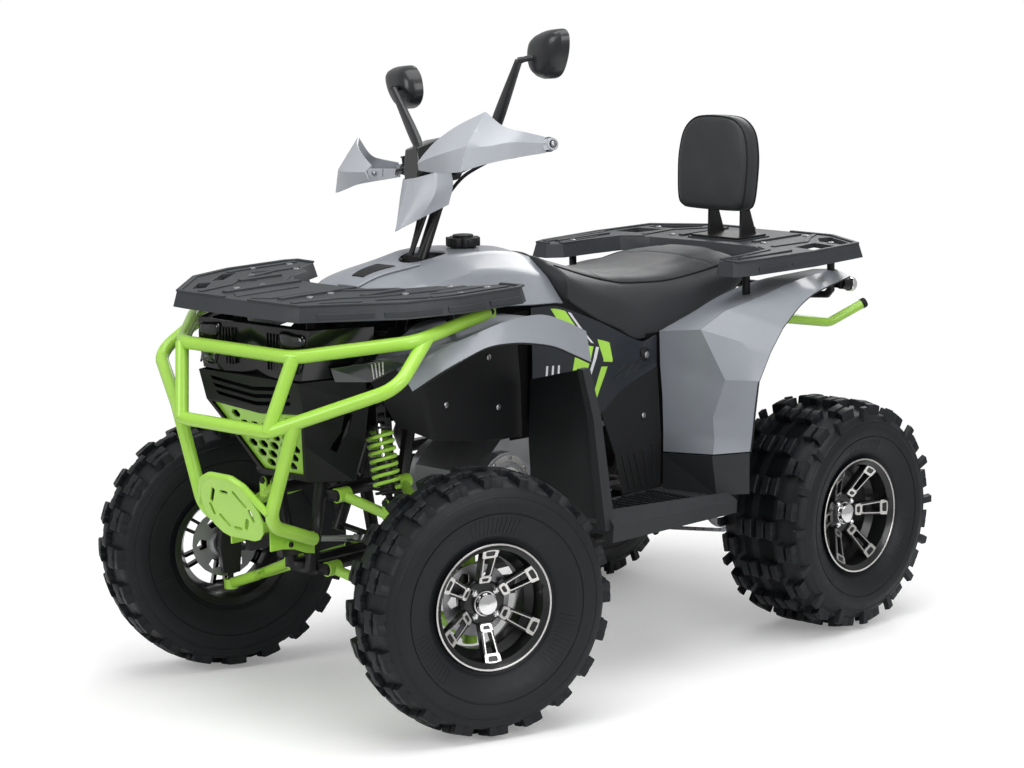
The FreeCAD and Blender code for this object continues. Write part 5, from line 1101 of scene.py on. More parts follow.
FENDER = Skin([
    [(236, 150, 846), (236, 300, 846), (240, 412, 830), (244, 430, 762)],
    [(300, 150, 856), (300, 330, 860), (300, 410, 858), (300, 434, 786)],
    [(371, 150, 860), (371, 335, 862), (371, 405, 882), (371, 439, 815)],
    [(449, 150, 860), (449, 342, 862), (449, 402, 884), (449, 441, 833)],
    [(510, 150, 856), (510, 348, 855), (510, 396, 876), (510, 436, 840)],
    [(574, 180, 846), (574, 338, 846), (574, 386, 860), (574, 424, 836)],
    [(657, 200, 826), (657, 290, 826), (657, 345, 826), (657, 396, 800)],
    [(690, 204, 808), (700, 262, 800), (712, 316, 780), (719, 348, 752)],
], (), (1, 2))
COVER = Skin(full_width([
    [(66, 0, 962), (66, 74, 952), (66, 132, 908), (66, 180, 852)],
    [(120, 0, 978), (120, 84, 968), (120, 150, 926), (120, 206, 862)],
    [(210, 0, 984), (210, 86, 982), (210, 160, 944), (210, 224, 870)],
    [(330, 0, 980), (330, 84, 984), (330, 165, 953), (330, 224, 880)],
    [(420, 0, 966), (420, 80, 968), (420, 165, 945), (420, 214, 884)],
    [(520, 0, 955), (520, 75, 952), (520, 140, 934), (520, 188, 886)],
    [(596, 0, 925), (596, 60, 922), (596, 108, 913), (596, 150, 880)],
]), (), (1, 2, 4, 5))
REAR_FENDER = Skin([
    [(-820, 214, 836), (-820, 280, 842), (-820, 330, 828)],
    [(-600, 214, 832), (-590, 340, 842), (-600, 398, 819)],
    [(-462, 214, 812), (-450, 350, 822), (-512, 420, 800)],
    [(-340, 214, 779), (-330, 338, 800), (-419, 440, 758)],
    [(-232, 214, 752), (-248, 330, 764), (-359, 452, 711)],
    [(-224, 222, 676), (-252, 400, 650), (-304, 461, 647)],
    [(-213, 238, 600), (-230, 380, 560), (-290, 461, 575)],
    [(-201, 250, 519), (-221, 392, 512), (-282, 461, 525)],
    [(-200, 250, 469), (-206, 400, 479), (-274, 460, 483)],
], (3, 4, 5, 6, 7), (1,))
SIDE = Skin([
    [(190, 196, 858), (100, 196, 850), (-39, 200, 796), (-176, 205, 734), (-226, 210, 744)],
    [(205, 212, 740), (100, 214, 730), (-40, 216, 710), (-150, 216, 690), (-221, 214, 680)],
    [(215, 216, 600), (100, 218, 596), (-19, 218, 585), (-91, 219, 630), (-219, 217, 668)],
], (1,), (2,))
HEEL = Skin([
    [(-19.2, 218, 584.6), (-91.2, 219, 629.6), (-219.1, 217, 667.6)],
    [(-50, 232, 480), (-110, 236, 480), (-205, 240, 500)],
    [(-54, 250, 388), (-120, 252, 388), (-184, 253, 388)],
], (1,), ())
GUARD = Skin([
    [(690, 160, 780), (560, 196, 836), (400, 198, 846), (246, 200, 836)],
    [(640, 170, 700), (540, 200, 690), (400, 202, 680), (240, 206, 690)],
    [(600, 172, 640), (520, 200, 600), (400, 202, 580), (240, 208, 566)],
], (1,), (1,))


def column_at(z):
    """The point of the column's centre line at this height, straight ahead."""
    return np.array([COLUMN_BASE[0] + (COLUMN_BASE[2] - z) * math.tan(COLUMN_TILT), 0.0, z])


def patch(skin, corners, across, along, raise_mm=0.45, thickness=0.5):
    """A thin piece of another colour on a panel's face: four corners in the panel's grid units."""
    c = arr(corners)
    rows, cols = (n - 1 for n in skin.g.shape[:2])
    e = 0.02
    g = np.zeros((along + 1, across + 1, 3))
    n = np.zeros_like(g)
    for i in range(along + 1):
        for j in range(across + 1):
            a, b = i / along, j / across
            u, v = c[0] * (1 - a) * (1 - b) + c[1] * a * (1 - b) + c[2] * a * b + c[3] * (1 - a) * b
            du = skin.at(min(u + e, rows), v) - skin.at(max(u - e, 0), v)
            dv = skin.at(u, min(v + e, cols)) - skin.at(u, max(v - e, 0))
            k = np.cross(du, dv)
            g[i, j] = skin.at(u, v)
            n[i, j] = k / max(np.linalg.norm(k), 1e-9)
    g = g + n * raise_mm
    if normals_of(g)[along // 2, across // 2] @ n[along // 2, across // 2] < 0:
        g = g[:, ::-1]
    return sheet_part(g, thickness)


def post_holes(places):
    """Round holes of the rack posts on both sides, from (forward, left, low, high)."""
    return [((x, s * y, low), (x, s * y, high), 9.6) for s in (1, -1) for x, y, low, high in places]


def fenders():
    end = Skin([[(241, 180, 845), (241, 409, 829)], [(241, 200, 764), (241, 427, 764)]])
    front = skin_panel("front_fender_skins", "front_fenders", FENDER, "grey",
                       extra=[sheet_part(end.grid(8), PANEL_T)])
    cut_round(front, post_holes([(505, 250, 800, 900)]))
    rear = skin_panel("rear_fender_skins", "rear_fenders", REAR_FENDER, "grey", sharp=14)
    cut_round(rear, post_holes([(-470, 285, 780, 880), (-800, 285, 780, 880)]))
    for name, skin, column, last, count in (("fender_lips", FENDER, 3, 7, 60),
                                            ("rear_fender_lips", REAR_FENDER, 2, 8, 70)):
        lip = sweep([skin.at(u, column) - (0, 2.5, 2.0) for u in np.linspace(0, last, count)], 2.6, 12)
        add_part(name, both(lip), "black", 60)


def tank_cover():
    cover = skin_panel("tank_cover_skin", "tank_cover", COVER, "grey", two=False)
    mid = column_at(975)
    cut_round(cover, [(mid - COLUMN_AXIS * 70, mid + COLUMN_AXIS * 70, 50.0),
                      ((209, 0, 900), (209, 0, 1040), 25.0)])
    _, side, up = frame_of(COLUMN_AXIS)
    boot = []
    for k in range(5):
        for h, r in ((-13.0, 47.0), (-11.0, 43.0)):
            boot.append(circle(mid + COLUMN_AXIS * (h - 5 * k), side, up, r - 5 * k, 48))
    add_part("column_boot", lofted(boot, start=False, end=False), "rubber")
    add_part("filler_ring", sweep([(209, 0, 982.2), (209, 0, 985.2)], 30, 48), "black")
    raised = patch(COVER, [(3.95, 2.12), (5.75, 2.5), (5.75, 3.5), (3.95, 3.88)], 16, 14, 6.0, 6.0)
    bevelled(add_part("stem_fairing_pad", raised, "grey"), 3.0, 3, 40)
    dark = patch(COVER, [(4.35, 2.62), (5.30, 2.74), (5.30, 3.26), (4.35, 3.38)], 10, 10, 8.0, 3.0)
    bevelled(add_part("stem_fairing_inlay", dark, "black"), 1.2, 2, 40)


def joint_strips():
    """Dark strips behind the joints between neighbouring panels."""
    strips = (
        [[(-196, 203, 748), (-246, 203, 748)], [(-196, 207, 680), (-246, 213, 680)],
         [(-190, 212, 600), (-240, 226, 600)], [(-184, 230, 500), (-226, 240, 500)],
         [(-176, 244, 390), (-222, 247, 390)]],
        [[(-210, 246, 490), (-223, 394, 494), (-288, 450, 498)],
         [(-207, 248, 452), (-214, 398, 462), (-281, 454, 466)]],
        [[(268, 190, 852), (176, 188, 852)], [(268, 192, 700), (182, 200, 700)],
         [(268, 196, 560), (190, 206, 560)]],
    )
    parts = [sheet_part(Skin(rows).grid(4), 1.5) for rows in strips]
    add_part("panel_joint_strips", both(joined(parts)), "liner")


def side_panels():
    boss = sweep([(-181, 141, 702), (-181, 209, 702)], 11.6, 24)
    skin_panel("side_panel_skins", "side_panels", SIDE, "navy", 8, extra=[boss])
    lime = [([(0.06, 0.70), (0.62, 1.28), (0.62, 1.64), (0.06, 1.18)], 14, 12),
            ([(0.70, 1.34), (1.88, 1.02), (1.88, 1.34), (0.70, 1.74)], 14, 20),
            ([(0.50, 1.86), (1.05, 1.94), (1.05, 2.20), (0.50, 2.16)], 10, 10),
            ([(1.14, 1.90), (1.90, 1.66), (1.90, 1.76), (1.14, 2.06)], 8, 14)]
    white = [([(0.06, 1.24), (0.62, 1.70), (0.62, 1.76), (0.06, 1.32)], 4, 12),
             ([(0.70, 1.80), (1.88, 1.40), (1.88, 1.46), (0.70, 1.87)], 4, 20)]
    white += [([(1.12, a), (1.60, a - 0.07), (1.60, a - 0.01), (1.12, a + 0.06)], 4, 8)
              for a in (0.78, 0.60, 0.42)]
    pale = [([(1.10, a), (1.46, a - 0.06), (1.46, a + 0.08), (1.10, a + 0.14)], 6, 6)
            for a in (2.50, 2.80, 3.10)]
    for name, marks, mat, slot in (("side_bars", lime, "lime", "lime_paint"),
                                   ("side_pinstripes", white, "white", "pale_panel"),
                                   ("side_slants", pale, "floor_plastic", "floor_plastic")):
        add_part(name, both(joined([patch(SIDE, *mark) for mark in marks])), mat)
    bolts("side_panel_bolts", paired([((-181, 217.5, 702), (0, 1, 0))]), "steel", 8, 3.5)
    rings = [sweep([(-181, 212, 702), (-181, 216, 702), (-181, 217.6, 702)], [17, 16, 13.5], 36),
             sweep([(-165, 214.5, 697), (-60, 216.5, 664)], 2.2, 10)]
    add_part("side_panel_bosses", both(joined(rings)), "black")


def heels_and_guards():
    skin_panel("heel_panel_skins", "heel_panels", HEEL, "black", 8)
    ribs = []
    for k in range(5):
        top, low = 0.34 * k, 0.32 * k
        ribs.append(patch(HEEL,
                          [(1.02, 0.30 + top), (1.90, 0.34 + low), (1.90, 0.44 + low), (1.02, 0.42 + top)],
                          3, 12, 2.2, 2.2))
    bevelled(add_part("heel_ribs", both(joined(ribs)), "black", 35), 0.7, 2, 40)
    bolts("heel_bolts", paired([(HEEL.at(0.55, 1.5) + (0, 0.5, 0), (0, 1, 0.1))]), "steel", 7, 3.5)
    guard = skin_panel("inner_guard_skins", "inner_guards", GUARD, "black", 8)
    cut_round(guard, post_holes([(505, 250, 500, 900)]))
    spots = [GUARD.at(u, w) + (0, 0.6, 0) for u, w in ((1.12, 1.45), (1.35, 2.55), (0.5, 0.8), (0.5, 2.4))]
    bolts("inner_guard_bolts", paired([(spot, (0, 1, 0)) for spot in spots]), "steel", 7, 3.5)


# Seat and backrest: crowned closed forms shaped in code, with seams and piping

SEAT_STATIONS = [
    (62, 862, 188, 120, 956), (-39, 803, 192, 135, 922), (-110, 772, 196, 145, 902), (-179, 741, 200, 150,
                                                                                      890),
    (-306, 763, 206, 160, 880), (-430, 795, 208, 165, 886), (-520, 816, 204, 165, 896), (-590, 850, 190,
                                                                                         150, 900),
]
SEAT_LAST = len(SEAT_STATIONS) - 1
SEAT_STEPS = 120
PIPING_PLACE = 0.43


def spline(points, t):
    """The smooth curve through the points at the place t, in steps from point to point."""
    p = arr(points)
    n = len(p)
    k = int(min(max(t, 0), n - 1.000001))
    a, b = p[k], p[k + 1]
    leaving = (b - p[k - 1]) / 2 if k > 0 else b - a
    arriving = (p[k + 2] - a) / 2 if k + 2 < n else b - a
    return hermite(a, b, leaving, arriving, t - k)


def ripple(x, y, z, scale):
    """Slow, even waves for the slack of a cover, from -1 to 1."""
    along = math.sin(x / scale + 1.7 * math.sin(y / (scale * 1.3)))
    across = math.cos(y / (scale * 0.8) + z / (scale * 1.1))
    return 0.6 * along * across + 0.4 * math.sin((x + 0.7 * y - 0.4 * z) / (scale * 0.45))


def seat_section(t, steps=44):
    """Half of the saddle's section at a place along it, from the middle of the top to the lower edge."""
    x, low, side, shoulder, top = spline(SEAT_STATIONS, t)
    edge = low + (top - low) * 0.55
    key = [(0, top + 3.5), (shoulder * 0.45, top + 1.5), (shoulder, top - 13), (side - 4, edge),
           (side - 1, low + 6), (side - 7, low)]
    points = []
    for k in range(steps + 1):
        u = k / steps
        y, z = spline(key, 5 * u)
        bulge = 0.0
        for seam, depth, width in ((0.245, 1.7, 0.012), (PIPING_PLACE, 2.6, 0.016)):
            bulge -= depth * math.exp(-((u - seam) / width) ** 2)
        near = min(abs(u - PIPING_PLACE), abs(u - 0.245))
        bulge += 2.2 * (1 - math.exp(-(near / 0.05) ** 2)) * (0.5 if u > 0.8 else 1.0) - 1.0
        bulge += 0.8 * ripple(x, y, z, 34.0) * math.exp(-(near / 0.08) ** 2)
        angle = math.atan2(z - (low + 20), max(y, 1.0))
        points.append((x, y + bulge * math.cos(angle), z + bulge * math.sin(angle), u))
    return points


def seat_line(first, last, pick, out, lift, radius):
    """Two cords along the saddle, one on each side, at a place that pick finds in the section."""
    cords = []
    for side in (1, -1):
        path = []
        for k in range(first, last):
            x, y, z, _ = pick(seat_section(SEAT_LAST * k / SEAT_STEPS))
            path.append((x, side * (y + out), z + lift))
        cords.append(sweep(path, radius, 10))
    return joined(cords)


def rounded_end(ring, steps):
    """Rings that close a form softly: each is the end ring moved along X and scaled about its middle."""
    rings = []
    for out, scale in steps:
        centre = ring.mean(axis=0)
        r = centre + (ring - centre) * scale
        r[:, 0] = ring[:, 0] + out
        rings.append(r)
    return rings


def seat():
    stations = []
    for k in range(SEAT_STEPS + 1):
        t = SEAT_LAST * k / SEAT_STEPS
        cross = sum(2.2 * math.exp(-((t - seam) / 0.045) ** 2) for seam in (1.75, 5.6))
        half = [(x, y, z - (cross if u < PIPING_PLACE + 0.02 else 0.0)) for x, y, z, u in seat_section(t)]
        stations.append(arr([(x, -y, z) for x, y, z in reversed(half[1:])] + half))
    rings = rounded_end(stations[0], ((0.0, 0.955), (-2.4, 0.982), (-5.5, 0.995))) + stations[2:-2]
    rings += rounded_end(stations[-1], ((5.5, 0.995), (2.4, 0.982), (0.0, 0.955)))
    o = add_part("saddle", lofted(rings), "vinyl", 60, node="seat")
    piping = seat_line(3, 118, lambda half: min(half, key=lambda q: abs(q[3] - PIPING_PLACE)), 1.2, 1.4, 2.3)
    add_part("saddle_piping", piping, "rubber", 60)
    add_part("saddle_hem", seat_line(2, 119, lambda half: half[-2], 1.0, -0.4, 3.0), "black",
             60)


BACKREST_OUTLINE = [
    (-94, 6), (-109, 28), (-115, 100), (-113, 150), (-101, 197), (-74, 226), (-36, 237), (36, 237),
    (74, 226), (101, 197), (113, 150), (115, 100), (109, 28), (94, 6), (60, 0), (-60, 0),
]


def closed_spline(points, per=8):
    p = list(points)
    n = len(p)
    out = []
    for k in range(n):
        window = [p[k - 1], p[k], p[(k + 1) % n], p[(k + 2) % n]]
        for m in range(per):
            out.append(spline(window, 1 + m / per))
    return arr(out)


def backrest():
    outline = closed_spline(BACKREST_OUTLINE, 8)
    centre = arr((0.0, 118.0))

    def place(part):
        v, f = part
        return turn_about(v, np.zeros(3), (0, 1, 0), math.radians(-5.0)) + arr((-672, 0, 986)), f

    crown = [(s, 5.0 * (1 - (s / 0.93) ** 4) + 1.6) for s in (0.06, 0.15, 0.25, 0.35, 0.45, 0.55, 0.64,
                                                              0.72, 0.79, 0.85, 0.90)]
    side = [(0.945, -1.0), (0.965, -4.0), (0.985, -9.0), (0.998, -16.0), (1.0, -24.0), (0.999, -33.0),
            (0.99, -40.0), (0.975, -46.0), (0.95, -50.0), (0.90, -52.0), (0.6, -52.0), (0.2, -52.0)]
    loops = []
    for s, x in crown + side:
        waves = 0.7 if 0.2 < s < 0.9 and x > -10 else 0.0
        loops.append([(x + waves * ripple(y, z, x, 30.0), y, z) for y, z in centre + (outline - centre) * s])
    o = add_part("backrest_pad", place(lofted(loops)), "vinyl", 60, node="backrest")
    cords = []
    for s, x in ((0.972, -3.6), (0.982, -46.0)):
        loop = arr([(x, y, z) for y, z in centre + (outline - centre) * s])
        cords.append(sweep(np.concatenate([loop, loop[:2]]), 2.4, 10))
    add_part("backrest_piping", place(joined(cords)), "rubber", 60)


# Foot boards, nose and lamps

def footwells():
    refined("footwells", "floor_plastic", 30, 1.4)
    teeth = []
    for k in range(7):
        x = 150 - 44 * k
        for m in range(12):
            y = 278 + 12 * m
            tooth = [(x + 1, y, 389.8), (x + 11, y, 389.8), (x + 9.5, y, 394.5), (x + 2.5, y, 394.5)]
            teeth.append(extruded(tooth, (0, 6, 0)))
    add_part("foot_board_teeth", both(joined(teeth)), "black_metal", 30)
    ribs = []
    for k in range(9):
        x = 190 - 42 * k
        ribs.append(box_part(x, x + 3, 262, 432, 381.5, 386.5))
    add_part("foot_board_ribs", both(joined(ribs)), "floor_plastic", 30)


def nose():
    refined("nose_cover", "black", 30, 1.6)
    refined("nose_cowl", "gloss", 30, 1.6)
    refined("grille", "lime", 30, 1.1)
    liner = []
    for z, half, x in ((560, 76, 768), (640, 114, 805), (704, 146, 834), (772, 154, 846), (836, 162, 832),
                       (884, 166, 832)):
        row = [(720, half + 16, z)] + [(x, y, z) for y in np.linspace(half, -half, 7)] + [(720, -half - 16,
                                                                                           z)]
        liner.append(row)
    add_part("nose_liner", sheet_part(Skin(liner).grid(3), 2.5), "liner")
    ribs = []
    for side in (1, -1):
        for k in range(4):
            y = side * (58 + 10 * k)
            foot, ridge = 870.5 - 0.02 * abs(y), 875.0 - 0.02 * abs(y)
            ribs.append(extruded([(foot, y - 2.4, 792), (ridge, y - 1.2, 792), (ridge, y + 1.2, 792),
                                  (foot, y + 2.4, 792)],
                                 (0, 0, 80)))
    add_part("cowl_ribs", joined(ribs), "gloss", 30)


def upper_lamps():
    lens_outline = [(100.8, 873.2), (165.2, 867.3), (157.4, 836.8), (108.6, 846.6)]
    c = arr(lens_outline).mean(axis=0)
    ring = closed_spline(lens_outline, 10)
    ring = c + (ring - c) * 0.93

    def loop(scale, x):
        return [(x, y, z) for y, z in c + (ring - c) * scale]

    def bowl(rows, close=True):
        v, f = lofted([loop(s, x) for s, x in rows], start=False, end=close)
        return v, flipped(f)

    add_part("upper_lenses",
             both(bowl([(0.985, 861.0), (0.985, 864.5), (0.93, 866.6), (0.7, 867.6), (0.3, 868.0),
                        (0.08, 868.0)])), "lens", 50, node="upper_lamps")
    v, f = both(bowl([(1.0, 860.5), (0.94, 858.5), (0.80, 850.0), (0.5, 842.0), (0.32, 840.0)]))
    add_part("upper_reflectors", (v, flipped(f)), "chrome")
    add_part("upper_lamp_rims",
             both(bowl([(1.06, 862.0), (1.06, 866.5), (0.99, 866.5), (0.99, 862.0)], close=False)), "gloss")
    tall = closed_spline([(101, 876), (140, 876), (169, 869), (167, 826), (156, 796), (134, 789),
                          (112, 794), (104, 836)], 8)
    tc = tall.mean(axis=0)

    def face_x(y, z):
        return 874.0 - (abs(y) - 84.0) * 6.0 / 92.0 - (z - 776) * 0.04

    def shell(rows):
        rings = [[(face_x(y, z) + lift, y, z) for y, z in tc + (tall - tc) * scale] for scale, lift in rows]
        v, f = lofted(rings, start=False)
        return v, flipped(f)

    add_part("headlamp_covers",
             both(shell([(0.97, 0.4), (0.97, 3.5), (0.92, 5.6), (0.8, 7.0), (0.5, 8.2), (0.15, 8.6)])),
             "lens", 50)
    add_part("headlamp_frames",
             both(shell([(1.04, -2.0), (1.04, 3.4), (1.0, 4.6), (0.975, 3.4), (0.975, 0.6)])), "gloss",
             50)
    steps = []
    for k in range(4):
        z = 829 - 9 * k
        wide = 24 - 2.5 * k
        steps.append(box_part(face_x(134, z) - 1, face_x(134, z) + 2.2, 134 - wide, 134 + wide, z - 3, z + 3))
    add_part("headlamp_steps", both(joined(steps)), "chrome", 30)
    y, z = c
    bulb = sweep([(842, y, z), (850, y, z), (855, y, z), (857.5, y, z)], [15, 15, 11, 4], 28)
    add_part("upper_projectors", both(bulb), "glass")


def lower_lamps():
    refined("lower_lamps", "lamp_dark", 30, 1.6)
    bars = []
    for k in range(4):
        t = 0.22 + 0.19 * k
        a = arr((764, 256, 812)) * (1 - t) + arr((744, 296, 822)) * t
        b = arr((752, 254, 768)) * (1 - t) + arr((740, 290, 788)) * t
        out = arr((0.84, 0.5, 0))
        bars.append(sweep([a * 0.9 + b * 0.1 + out * 0.8, a * 0.1 + b * 0.9 + out * 0.8], 1.9, 10))
    add_part("lower_lamp_bars", both(joined(bars)), "machined", 60)


# Steering: drawn straight ahead, then turned to the rest angle

def turned_mesh(name, part, mat, sharp=40, node=None):
    v, f = part
    return add_part(name, (steered(v), f), mat, sharp, "steering", node)


def handlebar():
    hx, _, hz = BAR_HEAD
    back = arr((-math.cos(COLUMN_TILT), 0, -math.sin(COLUMN_TILT)))
    foot = column_at(400.0)
    metal = [sweep([foot - COLUMN_AXIS * 14, foot + COLUMN_AXIS * (758 / math.cos(COLUMN_TILT))], 12.8, 32)]
    for z in (494.0, 800.0):
        p = column_at(z)
        metal.append(sweep([p - COLUMN_AXIS * 18, p + COLUMN_AXIS * 18], 14.0, 36))
    corners = []
    for across, reach in ((-26, -6), (-32, 73), (32, 73), (26, -6)):
        corners.append(foot - COLUMN_AXIS * 4 + back * reach + arr((0, across, 0)))
    metal.append(extruded(corners, COLUMN_AXIS * 8))
    end = foot + back * 62
    for side in (1, -1):
        spot = end + arr((0, side * 20, 0))
        metal.append(sweep([spot - COLUMN_AXIS * 22, spot + COLUMN_AXIS * 4], 4.97, 24))
    tubes = []
    for side in (1, -1):
        path = rounded_path([(hx, 0, hz + 4), (hx, side * 60, hz + 6), (hx - 30, side * 170, hz + 34),
                             (hx - 52, side * 235, hz + 34), (hx - 74, side * 372, hz + 32)], 30)
        tubes.append(sweep(path, 10.9, 24))
    clamp = sweep([(hx, -34, hz + 4), (hx, -33, hz + 4), (hx, 33, hz + 4), (hx, 34, hz + 4)],
                  [19.5, 21, 21, 19.5], 32)
    metal.append(clamp)
    for sy in (-22, 22):
        for sx in (-13, 13):
            metal.append(sweep([(hx + sx, sy, hz + 18), (hx + sx, sy, hz + 25)], 4.6, 6))
    turned_mesh("handlebar_tubes", joined(tubes), "black_metal", node="handlebar")
    turned_mesh("steering_column", joined(metal), "black_metal")


def grips():
    hx, _, hz = BAR_HEAD
    start = arr((hx - 53.3, 243, hz + 33.9))
    end = arr((hx - 74, 372, hz + 32))
    d = (end - start) / np.linalg.norm(end - start)
    length = np.linalg.norm(end - start)
    path, radii = [], []
    path += [start, start + d * 2, start + d * 5, start + d * 7]
    radii += [15, 17, 17, 15.6]
    t = 9.0
    while t < length - 9:
        for step, r in ((0, 14.6), (1.2, 16.2), (3.2, 16.2), (4.4, 14.6)):
            path.append(start + d * (t + step))
            radii.append(r)
        t += 5.6
    path += [end - d * 3, end - d * 1, end]
    radii += [16.6, 16.6, 13.5]
    turned_mesh("grip_sleeves", both(sweep(path, radii, 32)), "rubber", 50, node="grips")


def controls():
    hx, _, hz = BAR_HEAD
    c = hx - 46
    body = box_part(c - 24, c + 26, 186, 226, hz + 14, hz + 56)
    bevelled(turned_mesh("switch_bodies", both(body), "black", 40, node="controls"), 5.0,
             4, 40)
    metal = []
    metal.append(sweep([(c + 28, 196, hz + 30), (c + 58, 216, hz + 26)], 8.7, 24))
    metal.append(sweep([(c - 2, 227, hz + 34), (c - 2, 234, hz + 34)], 17, 32))
    lever = rounded_path([(c + 50, 208, hz + 27), (c + 48, 262, hz + 26), (c + 12, 345, hz + 22)], 30)
    radii = np.interp(np.linspace(0, 1, len(lever)), [0, 0.2, 0.85, 0.93, 1], [5.8, 5.0, 4.4, 5.9, 5.0])
    metal.append(sweep(lever, radii, 20))
    turned_mesh("lever_sets", both(joined(metal)), "black_metal")
    knobs = []
    for y, z, r in ((198, 46, 4.2), (212, 46, 4.2), (198, 30, 5.2), (214, 30, 3.6)):
        knobs.append(sweep([(c - 22, y, hz + z), (c - 27.5, y, hz + z), (c - 28.5, y, hz + z)],
                           [r, r, r - 1], 20))
    turned_mesh("switch_knobs", both(joined(knobs)), "floor_plastic")
    red = sweep([(c - 4, -206, hz + 55), (c - 4, -206, hz + 60), (c - 4, -206, hz + 61.5)], [6.2, 6.2, 4.8],
                24)
    turned_mesh("stop_button", red, "red")
    tank = box_part(c + 26, c + 54, -222, -186, hz + 36, hz + 54)
    cup = turned_mesh("brake_reservoir",
                      joined([tank, box_part(c + 24, c + 56, -224, -184, hz + 54, hz + 58)]), "black")
    bevelled(cup, 2.0, 3, 40)


def pod():
    hx, _, hz = BAR_HEAD
    refined("meter_pod", "gloss", 30, 3.0, body="steering")
    face = [(hx + 28.6, -46, hz + 24), (hx + 28.6, 46, hz + 24), (hx + 25.4, 37, hz + 77),
            (hx + 25.4, -37, hz + 77)]
    turned_mesh("pod_bezel", extruded(face, (-2.2, 0, 0)), "pale")
    screen = [(hx + 26.6, -38, hz + 30), (hx + 26.6, 38, hz + 30), (hx + 23.6, 31, hz + 71),
              (hx + 23.6, -31, hz + 71)]
    turned_mesh("pod_screen", extruded(screen, (-1.2, 0, 0)), "lamp_dark")


def fairing():
    hx, _, hz = BAR_HEAD
    half = [
        [(hx + 100, 0, hz - 2), (hx + 98, 36, hz - 2), (hx + 70, 84, hz + 4), (hx + 44, 104, hz + 12)],
        [(hx + 122, 0, hz - 50), (hx + 112, 36, hz - 47), (hx + 78, 84, hz - 42), (hx + 42, 106, hz - 28)],
        [(hx + 150, 0, hz - 118), (hx + 139, 14, hz - 112), (hx + 106, 50, hz - 96), (hx + 52, 92, hz - 72)],
    ]
    shell = sheet_part(Skin(full_width(half), (), (3, 1, 5)).grid(8), 3)
    bevelled(turned_mesh("fairing_skin", shell, "pale", 25, node="bar_fairing"), 0.8, 2, 50)


def guards():
    hx, _, hz = BAR_HEAD
    end = 382
    rows = [
        [(hx + 126, 138, hz + 42), (hx + 118, 200, hz + 70), (hx + 96, 270, hz + 96),
         (hx + 59, 341, hz + 118), (hx - 4, 382, hz + 84), (hx - 58, end - 2, hz + 54)],
        [(hx + 142, 142, hz + 27), (hx + 146, 205, hz + 32), (hx + 142, 275, hz + 38),
         (hx + 118, 345, hz + 46), (hx + 34, 392, hz + 44), (hx - 58, end + 4, hz + 35)],
        [(hx + 138, 138, hz + 10), (hx + 142, 200, hz + 2), (hx + 142, 270, hz - 5), (hx + 135, 338, hz - 8),
         (hx + 40, 384, hz + 8), (hx - 58, end - 2, hz + 14)],
    ]
    waist = []
    for k, row in enumerate(rows):
        middle = arr(row[3]) * 0.52 + arr(row[4]) * 0.48
        middle[2] -= (20, 4, -2)[k]
        waist.append(list(row[:4]) + [tuple(middle)] + list(row[4:]))
    waist[0][5] = (hx - 4, 382, hz + 66)
    waist[0][6] = (hx - 58, end - 2, hz + 50)
    skin_ = Skin(waist, (1,), (3,))
    tab = extruded([(hx + 139, 146, hz + 34), (hx + 136, 146, hz + 14), (hx + 112, 118, hz + 12),
                    (hx + 110, 116, hz + 30)], (-5, 2, 0))
    parts = [sheet_part(skin_.grid(8), 4), tab]
    bevelled(turned_mesh("hand_guard_shields", both(joined(parts)), "pale", 25,
                         node="hand_guards"), 1.0, 2, 50)
    ends = [sweep([(hx - 74, 374.4, hz + 32), (hx - 74, 385, hz + 32), (hx - 74, 387, hz + 32)],
                  [14.5, 14.5, 13.0], 32),
            box_part(hx - 80, hx - 50, end - 3, end + 3, hz + 20, hz + 45)]
    turned_mesh("hand_guard_mounts", both(joined(ends)), "pale")
    turned_mesh("hand_guard_sockets",
                both(sweep([(hx - 74, 386.6, hz + 32), (hx - 74, 387.6, hz + 32)], 9.0, 28)), "black")
    spots = [bolt((hx - 74, 387.4, hz + 32), (0, 1, 0), 6.5, 3.5),
             bolt((hx + 126.5, 128, hz + 22), (0.85, -0.2, 0), 6.0, 3.5)]
    turned_mesh("hand_guard_bolts", both(joined(spots)), "steel")


